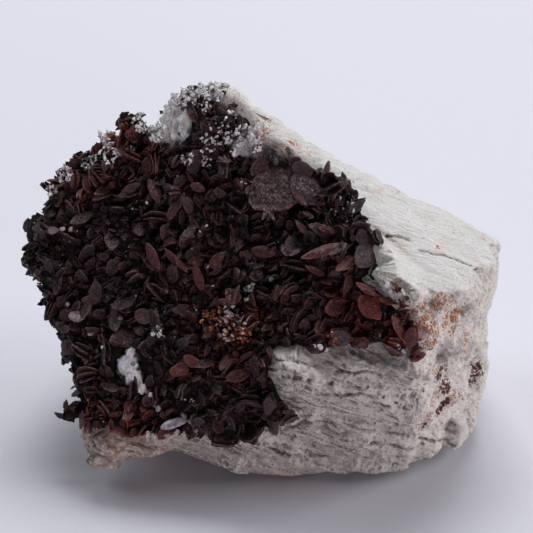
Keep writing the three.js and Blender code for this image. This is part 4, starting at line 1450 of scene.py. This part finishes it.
def quartz_faces():
    sides = range(QUARTZ_SIDES)
    after = [(i + 1) % QUARTZ_SIDES for i in sides]
    prism = [(i, after[i], QUARTZ_SIDES + after[i], QUARTZ_SIDES + i) for i in sides]
    point = [(QUARTZ_SIDES + i, QUARTZ_SIDES + after[i], 2 * QUARTZ_SIDES) for i in sides]
    return prism + point + [tuple(reversed(sides))]


quartz_random = np.random.default_rng(5)
quartz_variants = [quartz_shape(quartz_random) for _ in range(8)]
print("a quartz point has", len(quartz_faces()), "faces")


def quartz_points(name, places, outward, radii, random, stains=0):
    """One mesh of many points, each leaning its own way off the outward direction."""
    count = len(places)
    pointing = unit(outward + random.normal(0, 0.42, (count, 3)))
    first = unit(np.cross(pointing, random.normal(0, 1, (count, 3))))
    axes = np.stack([first, np.cross(pointing, first), pointing], axis=1)
    choice = random.integers(0, len(quartz_variants), count)
    attributes = {"shade": random.random(count), "stain": np.ones(count) * stains}
    return joined_copies(name, quartz_variants, quartz_faces(), choice, places, axes, radii, attributes)


# %% [markdown]
# Each patch first swells a little past its solid, up and to the side that it grows towards, so that its
# outline against the floor is the real one: QUARTZ_GROWTH gives (right, up) for each, in millimetres.

# %% Patches of quartz
QUARTZ_GROWTH = {"quartz_peak": (1.5, 3), "quartz_shoulder": (0, 0.4), "quartz_left": (-0.8, 0.8)}
QUARTZ_VOXEL = 0.3
QUARTZ_SIZE = (0.12, 0.36)


def sugar_height(tree, place, keep):
    lumps = faded(cells(place, 1.1).outputs["Distance"], 0, 0.7, 0.25, -0.25)
    return total(lumps, swell(place, 0.6, 0.12, 2))


quartz_pieces = []
for seed, (node_name, (right, up)) in enumerate(QUARTZ_GROWTH.items()):
    random = np.random.default_rng(40 + seed)
    mass = copy_of(node_name, node_name + "_mass")
    remeshed(mass, QUARTZ_VOXEL, smoothing=4)
    growth = np.array(RIGHT * right + UP * up)
    exposed = np.clip(normals_of(mass) @ growth / np.linalg.norm(growth), 0, 1)
    set_points(mass, points_of(mass) + exposed[:, None] * growth * MM)
    relief(mass, sugar_height)
    places = points_of(mass)
    heights, outward = height_over_rock(places)
    front = np.flatnonzero(heights > 0.9)
    chosen = front[spaced(places[front], 0.4, random)]
    widths = random.uniform(*QUARTZ_SIZE, len(chosen))
    points = quartz_points(node_name + "_points", places[chosen], outward[chosen], widths, random)
    quartz_pieces.append((node_name, mass, points))
    print(node_name, len(chosen), "points")

# %% [markdown]
# Clear quartz could be full glass, but points this small are cloudy: a part of transmission and an index of
# refraction of 1.54 look right. The mass under them is full of tiny flaws and scatters light, so it is a
# milky white with a little subsurface light.

# %% Quartz materials
clear_quartz, tree, surface = new_material("clear quartz")
normal = grain(in_millimetres(tree), 0.5, 3, 0.6, depth=0.02)
connect(
    surface, {"Normal": normal},
    Base_Color=(0.95, 0.94, 0.96, 1), Roughness=0.14, IOR=1.544, Transmission_Weight=0.3,
)

milky_quartz, tree, surface = new_material("milky quartz")
place = in_millimetres(tree)
colour = milky(place, 1.2, (0.5, 0.46, 0.46, 1), (0.92, 0.91, 0.93, 1))
normal = bumped(cells(place, 0.4).outputs["Distance"], 0.1)
connect(
    surface, {"Base Color": colour, "Normal": normal},
    Roughness=0.28, IOR=1.54, Subsurface_Weight=0.3, Subsurface_Scale=0.6 * MM,
)

for node_name, mass, points in quartz_pieces:
    dressed(mass, milky_quartz, node_name)
    dressed(points, clear_quartz, node_name)
print(len(quartz_pieces), "patches of quartz")

# %% [markdown]
# ## Calcite and the pale lens
#
# The pitted white lump on the lower left is calcite that grew late, as a chain of soft knobs. It is a copy of
# its solid, remeshed fine and given small knobs. The pale lens below it is a crystal like the dark ones, but
# of milky carbonate, so it is made like the large dark lenses and takes the place of its solid.

# %% Calcite
calcite = copy_of("calcite_lump", "calcite_knobs")
remeshed(calcite, 0.12, smoothing=6)


def calcite_height(tree, place, keep):
    knobs = faded(cells(place, 0.8).outputs["Distance"], 0, 0.6, 0.16, -0.12)
    return total(knobs, swell(place, 0.4, 0.07, 3))


relief(calcite, calcite_height)
calcite_material, tree, surface = new_material("calcite")
place = in_millimetres(tree)
colour = milky(place, 0.9, (0.58, 0.54, 0.6, 1), (0.92, 0.9, 0.95, 1))
normal = grain(place, 0.18, 4, 0.7, depth=0.06)
connect(
    surface, {"Base Color": colour, "Normal": normal},
    Roughness=0.45, Subsurface_Weight=0.4, Subsurface_Scale=0.8 * MM,
)
dressed(calcite, calcite_material, "calcite_lump")

# %% The pale lens
PALE_LENS = in_words([(-12.4, -20.1, 2.15, 0.4, 16, 80, 30, 1.5, 0, 1)])
pale = place_lenses("pale_lens_crystal", PALE_LENS, 8)
modified(pale, "SUBSURF", levels=2, render_levels=2)
pale_material, tree, surface = new_material("pale carbonate")
place = in_millimetres(tree)
colour = milky(place, 0.8, (0.2, 0.17, 0.2, 1), (0.5, 0.47, 0.55, 1))
normal = grain(place, 0.3, 4, 0.7, depth=0.05)
connect(
    surface, {"Base Color": colour, "Normal": normal},
    Roughness=0.3, Subsurface_Weight=0.3, Subsurface_Scale=0.6 * MM,
)
dressed(pale, pale_material, "pale_lens")
print("the pale lens has", triangles_of(pale), "triangles")

# %% [markdown]
# ## Sugar and crumbs
#
# Late quartz also dusts the druse: patches of grains like coarse sugar at the peak and on the left shoulder,
# an iron-stained patch in the middle, and pale crumbs of rock and carbonate caught between the crystals. A
# grain or crumb goes where the sight line meets whatever lies there first, so it rests on its carrier from
# every side. A few hundred very small grains on the crystals' rims give the sparkle of a real druse. Each
# patch of sugar is (right, up, radius, count, stain). Each crumb is (right, up, half-length, paleness), and a
# row of crumbs runs from one place to another: (start, end, count, half-length, paleness).

# %% Grains and crumbs
SUGAR_PATCHES = [
    (-10.3, 25.4, 1.8, 110, 0), (-7.8, 25, 1.4, 80, 0), (-6.8, 24.2, 0.9, 30, 0), (-11.7, 23.9, 1.2, 50, 0),
    (-13.4, 23.1, 1.1, 40, 0), (-13.7, 21, 1.2, 50, 0), (-15.1, 19.3, 1.2, 50, 0), (-9.5, 23.7, 0.8, 12, 0),
    (-8.2, 22.5, 0.7, 10, 0), (-10.7, 15.6, 0.9, 30, 0), (-8.2, 15.2, 0.7, 18, 0), (-4.7, 18.3, 1.1, 45, 0),
    (-2.9, 19, 1.2, 70, 0), (-3.8, 16.7, 1.1, 50, 0), (-1.6, 19.7, 0.8, 12, 0), (-1.8, 17.6, 1.3, 60, 0),
    (-17, 20.7, 1.4, 60, 0), (-15.7, 21, 1, 40, 0), (-21.8, 16.2, 1.3, 40, 0), (-24.6, 15.6, 1.3, 40, 0),
    (-27.9, 13.8, 1.2, 40, 0), (-29.8, 11.3, 0.9, 30, 0), (-14.8, -7.8, 0.8, 16, 0), (-2.2, -1.9, 0.7, 14, 0),
    (-2.8, -3.5, 0.4, 8, 0), (10.6, 8.6, 1.8, 14, 0), (16, -1.5, 0.5, 6, 0), (-5.6, -6.9, 2.3, 60, 1),
    (-3.3, -8.2, 1.2, 30, 1), (-7.9, -6, 1.1, 20, 1), (8.6, -8.4, 1.1, 12, 1), (-5.2, -6.6, 2.4, 50, 0.35),
    (-4.6, -5.2, 1, 16, 0), (-6.6, 19, 1.8, 24, 0), (-8.4, 17.4, 1.6, 18, 0), (-5, 21.2, 0.9, 12, 0),
]
SUGAR_SIZE = (0.08, 0.24)
CRUMBS = [
    (-16.3, 9.7, 0.3, 0.9), (-18.3, 9, 0.3, 0.8), (-13.4, 6.7, 0.35, 0.7), (-8.1, 6.5, 0.3, 0.9),
    (-9, 5.7, 0.25, 0.9), (-13.6, -2.3, 0.45, 0.5), (-15.2, -7.7, 0.6, 0.6), (-8.1, -7, 0.5, 0.5),
    (-4.9, -5.4, 0.65, 1), (-7.9, 1, 0.3, 0.9), (-17.8, -3, 0.25, 0.7), (-7.2, -1.6, 0.25, 0.9),
    (0.6, -0.7, 0.45, 0.5), (-26.9, 6.1, 0.55, 0.8), (-28.1, 6.1, 0.45, 0.8), (-27.3, -4.2, 0.55, 1),
    (-19.9, -6, 0.45, 0.5), (-23.2, -10.5, 0.45, 0.5), (-24, -8.2, 0.6, 0.6), (-22.3, -10, 0.3, 1),
    (-24.4, -17.3, 0.3, 2), (-19.4, -19.7, 0.4, 0.6), (-11.1, -19.2, 0.6, 0.6), (-10.3, -19.9, 0.5, 0.5),
    (-9.5, -21.1, 0.5, 0.5), (-16.1, -21.6, 0.6, 0.9), (-15.3, -21.9, 0.5, 0.9), (-13.6, -21.9, 0.6, 0.6),
    (-12.5, -23.1, 0.5, 0.8), (-14.6, -18.2, 0.6, 0.6), (5.2, -10, 0.3, 1), (15, -8.1, 0.4, 0.6),
    (14.6, 0.5, 0.4, 0.9), (15.7, -1.4, 0.6, 0.9), (16.3, -2.2, 0.5, 0.9),
]
CRUMB_ROWS = [
    ((-1.6, -0.8), (-2.7, -4.1), 5, 0.42, 0.9), ((-3.7, 12.3), (-1.8, 12.5), 5, 0.2, 1),
    ((-12, -16.9), (-9.9, -17), 6, 0.22, 1), ((-32.1, 0), (-31.7, -1.6), 3, 0.4, 0.9),
    ((-16.1, -15.9), (-14.9, -17.7), 4, 0.45, 0.7), ((6.4, -9.2), (8.3, -9.9), 4, 0.55, 1),
    ((17.2, -9.2), (18.4, -10.5), 4, 0.32, 1),
]
GLINTS = 450
GLINT_SIZE = (0.035, 0.075)


carriers = [crust, plate, large_lenses, strewn_lenses, *crystals, rock]
druse_skins = [skin_of(piece) for piece in carriers + [mass for _, mass, _ in quartz_pieces]]
random = np.random.default_rng(61)
found, stains = [], []
for right, up, radius, count, stained in SUGAR_PATCHES:
    for _ in range(count):
        away, turn = radius * math.sqrt(random.random()), random.uniform(0, 2 * math.pi)
        met = met_first(druse_skins, right + away * math.cos(turn), up + away * math.sin(turn))
        if met:
            found.append(met)
            stains.append(stained)
for _ in range(GLINTS):
    carrier = crystals[random.integers(1, 3)]
    point = carrier.data.vertices[int(random.integers(0, len(carrier.data.vertices)))]
    found.append((np.array(point.co), np.array(point.normal)))
    stains.append(0)
grains = len(found) - GLINTS
places = np.array([place for place, _ in found])
outward = unit(np.array([normal for _, normal in found]) + 0.5 * np.array(UP))
sizes = np.concatenate([random.uniform(*SUGAR_SIZE, grains), random.uniform(*GLINT_SIZE, GLINTS)])
sugar = quartz_points("quartz_sugar", places, outward, sizes, random, stains=stains)
print(grains, "grains of sugar,", GLINTS, "glints")


def crumb_points(random):
    """A lump with the faces of a lens, but as thick as it is broad."""
    points, rim = lens_points(random, breadth=random.uniform(0.6, 0.9))
    points[:, 2] *= 3.2
    return points, rim


rows = [
    (*(np.array(start) + (np.array(end) - start) * random.random() + random.normal(0, 0.15, 2)),
     half * random.uniform(0.6, 1.1), pale)
    for start, end, count, half, pale in CRUMB_ROWS for _ in range(count)
]
placed = [(met_first(druse_skins, right, up), half, pale) for right, up, half, pale in CRUMBS + rows]
placed = [entry for entry in placed if entry[0]]
crumb_axes = [unit(random.normal(0, 1, (1, 3)))[0] for _ in placed]
first = unit(np.cross(np.array(crumb_axes), random.normal(0, 1, (len(placed), 3))))
axes = np.stack([first, np.cross(np.array(crumb_axes), first), crumb_axes], axis=1)
halves = np.array([half for _, half, _ in placed])
crumbs = joined_copies(
    "pale_crumbs", [crumb_points(random) for _ in placed], lens_faces(), np.arange(len(placed)),
    np.array([place for (place, _), _, _ in placed]), axes, halves,
    {"shade": np.array([pale for _, _, pale in placed])},
)
modified(crumbs, "SUBSURF", levels=1, render_levels=1)
print(len(placed), "crumbs")

sugar_material, tree, surface = new_material("quartz sugar")
white = mixed(mask_of(tree, "shade"), (0.68, 0.65, 0.68, 1), (0.96, 0.95, 0.98, 1))
stained_red = mixed(mask_of(tree, "shade"), (0.16, 0.03, 0.015, 1), (0.56, 0.19, 0.07, 1))
colour = mixed(mask_of(tree, "stain"), white, stained_red)
connect(surface, {"Base Color": colour}, Roughness=0.14, IOR=1.544, Transmission_Weight=0.15)

crumb_material, tree, surface = new_material("pale crumbs")
place = in_millimetres(tree)
shade = mask_of(tree, "shade")
tone = mixed(faded(shade, 0.4, 1), (0.2, 0.18, 0.19, 1), (0.86, 0.83, 0.84, 1))
tone = mixed(faded(shade, 1.1, 1.9), tone, (0.8, 0.25, 0.04, 1))
patchy = faded(clouds(place, 0.3, 4, 0.75), 0.35, 0.6, 0.45, 1)
colour = mixed(patchy, (0.16, 0.12, 0.12, 1), tone)
normal = grain(place, 0.25, 4, 0.75, depth=0.12)
connect(surface, {"Base Color": colour, "Normal": normal}, Roughness=0.5)
dressed(sugar, sugar_material, "siderite_druse")
dressed(crumbs, crumb_material, "siderite_druse")

# %% [markdown]
# ## Light and floor
#
# The specimen stands on a plain pale floor that is larger than the view, so that no edge shows. The light is
# that of a room with windows, made of four soft squares: the key above and behind, which brightens the top of
# the rock and leaves the druse in gentle shade, with a soft shadow in front; a window on the right for the
# broken end and one on the left for the upper left border; and a low, warm card in front that lifts the
# shadows. The world itself stays almost dark, so that the gaps between the crystals do too.

# %% Floor
bpy.ops.mesh.primitive_plane_add(size=3, location=(0, 0, 0))
floor = bpy.context.object
floor.name = "floor"
floor_material, tree, surface = new_material("pale floor")
connect(surface, {}, Base_Color=(0.65, 0.655, 0.73, 1), Roughness=0.9)
floor.data.materials.append(floor_material)
floor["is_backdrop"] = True

# %% Lights
WORLD_COLOUR = (1, 0.9, 0.9, 1)
WORLD_STRENGTH = 0.01


def softbox(name, turn, rise, distance, size, watts, tint):
    """A square of light that looks at the specimen from a compass turn and a rise above the table."""
    turn, rise = math.radians(turn), math.radians(rise)
    coming = Vector((math.cos(rise) * math.cos(turn), math.cos(rise) * math.sin(turn), math.sin(rise)))
    bpy.ops.object.light_add(type="AREA", location=coming * distance)
    light = bpy.context.object
    light.name = name
    light.data.energy = watts
    light.data.size = size
    light.data.color = tint
    light.rotation_euler = coming.to_track_quat("Z", "Y").to_euler()
    print(name, "gives", watts, "W")


softbox("key", turn=87, rise=57, distance=2.4, size=1.2, watts=46, tint=(0.98, 0.99, 1))
softbox("right window", turn=9, rise=26, distance=2.0, size=1.2, watts=26, tint=(1, 0.98, 0.975))
softbox("left window", turn=155, rise=40, distance=2.0, size=1.4, watts=13, tint=(0.96, 0.98, 1))
softbox("low card", turn=-64, rise=8, distance=2.0, size=0.8, watts=12.5, tint=(1, 0.87, 0.9))

world = bpy.data.worlds.new("dim room")
bpy.context.scene.world = world
world.use_nodes = True
world.node_tree.nodes["Background"].inputs["Color"].default_value = WORLD_COLOUR
world.node_tree.nodes["Background"].inputs["Strength"].default_value = WORLD_STRENGTH
bpy.context.scene.view_settings.view_transform = "Standard"

# %% [markdown]
# ## Sizes
#
# The dressed specimen has to stay as large as its solids. Both boxes are printed.

# %% Sizes
visual_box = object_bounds()
boxes = {
    "cad": [list(corner) for corner in cad_box],
    "visual": [list(corner) for corner in visual_box],
}
for label, corners in boxes.items():
    print(label, "box", [[round(value / MM, 1) for value in corner] for corner in corners], "mm")
